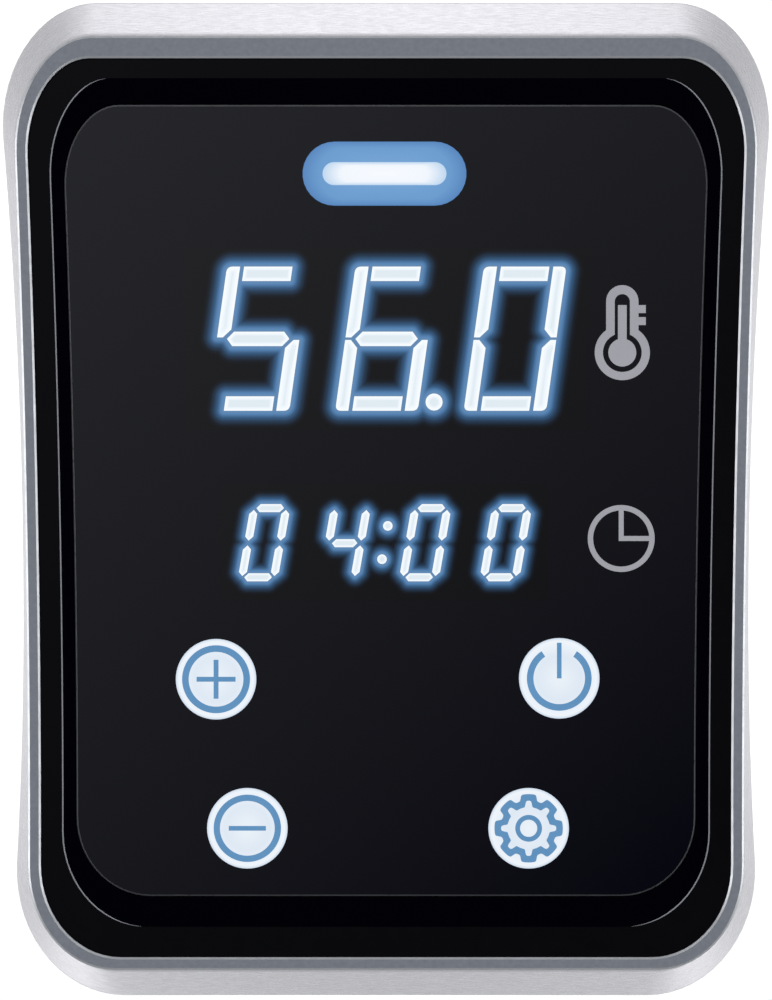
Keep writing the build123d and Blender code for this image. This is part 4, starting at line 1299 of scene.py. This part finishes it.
knob_profile = eased(
    [
        (0.0, knob_start), (6.2, knob_start), (6.4, knob_start + 1.0),
        (KNOB_RADIUS - 0.4, knob_start + 1.4), (KNOB_RADIUS, knob_start + 3.0),
        (KNOB_RADIUS, knob_end - 1.8), (KNOB_RADIUS - 1.8, knob_end - 0.1), (6.8, knob_end),
        (6.2, knob_end - 0.8), (0.0, knob_end - 0.8),
    ],
    0.7,
)
knob_rings = lying(turned(knob_profile, 128, ripple=scallops), screw_z)
knob_grip = piece("clamp_knob_grip", *skin(knob_rings), "hand_screw", "knob_black", knob_nylon)
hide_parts("clamp_knob")

# ---- lock knob ----
# A small knurled nylon knob on a steel stud at the clamp's side. Turned in, it presses the
# liner on the housing tube and holds the clamp at its height.
lock_low, lock_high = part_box("lock_knob")
lock_end = lock_high.x / MM
lock_z = (lock_low.z + lock_high.z) / 2 / MM
LOCK_RADIUS = 10.0
LOCK_LENGTH = 8.6
FLUTES = 24
FLUTE_DEPTH = 0.75
lock_start = lock_end - LOCK_LENGTH


def knurl(turn, profile):
    """Rounded flutes, only where the knob is full width."""
    full = np.clip((profile[:, :1] - 8.0) / 1.2, 0, 1)
    return -FLUTE_DEPTH * full * (0.5 + 0.5 * np.cos(FLUTES * turn))


lock_profile = eased(
    [
        (0.0, lock_start - 3.0), (2.5, lock_start - 3.0), (2.5, lock_start), (6.0, lock_start),
        (6.2, lock_start + 0.8), (LOCK_RADIUS - 0.3, lock_start + 1.0),
        (LOCK_RADIUS, lock_start + 2.2), (LOCK_RADIUS, lock_end - 1.4),
        (LOCK_RADIUS - 1.4, lock_end), (0.0, lock_end),
    ],
    0.5,
)
lock_x, lock_y, lock_height = np.moveaxis(turned(lock_profile, 144, ripple=knurl), -1, 0)
lock_rings = np.stack([lock_height, lock_y, lock_z - lock_x], axis=-1)
lock_grip = piece("lock_knob_grip", *skin(lock_rings), "lock", "knob_black", knob_nylon)
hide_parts("lock_knob")

# ---- pieces kept as the design has them ----
# Inner and plain parts: they keep their designed shape and take the finish they are made in.
solder_mask = finish(
    "solder_mask", (16, 70, 40), (24, 86, 50), (0.25, 0.4), mottle=120.0, grain=700.0,
)
natural_nylon = finish("natural_nylon", (196, 196, 190), (208, 208, 202), (0.45, 0.6), depth=0.02)
potted_block = finish("potted_block", (26, 26, 28), (34, 34, 36), (0.4, 0.6), mottle=100.0)
enamelled_copper = finish(
    "enamelled_copper", (168, 92, 48), (196, 116, 66), (0.25, 0.4), metallic=1.0, grain=1.0,
    depth=0.03, stretch=(600, 600, 3000),
)
zinc_plate = finish(
    "zinc_plate", (140, 142, 146), (160, 162, 166), (0.3, 0.45), metallic=1.0, depth=0.005,
)
extruded_aluminium = finish(
    "extruded_aluminium", (186, 188, 192), (204, 206, 210), (0.28, 0.42), metallic=1.0, grain=1.0,
    depth=0.004, stretch=(2600, 2600, 80),
)
KEPT = {
    clamp_nylon: "clamp_bracket",
    pad_rubber: "clamp_liner pot_pad press_pad bulkhead_o_ring shaft_seal glass_gasket",
    turned_brass: "thread_insert shaft_coupling motor_bearings",
    drawn_steel: "support_rods level_rods temperature_probe impeller_shaft "
    "motor_shaft heater_loops board_screws touch_springs",
    circular_steel: "skirt_collar bulkhead",
    solder_mask: "display_board power_board",
    natural_nylon: "inner_frame impeller shaft_spider shaft_bush cooling_fan gland_nut",
    potted_block: "temperature_display timer_display buzzer thermal_cutout vent_baffle",
    enamelled_copper: "motor_stator transformer",
    zinc_plate: "motor_can motor_plate motor_posts rotor_core",
    extruded_aluminium: "heat_sink capacitors",
}
for material, names in KEPT.items():
    for name in names.split():
        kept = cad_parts[name]
        kept.data.materials.clear()
        kept.data.materials.append(material)
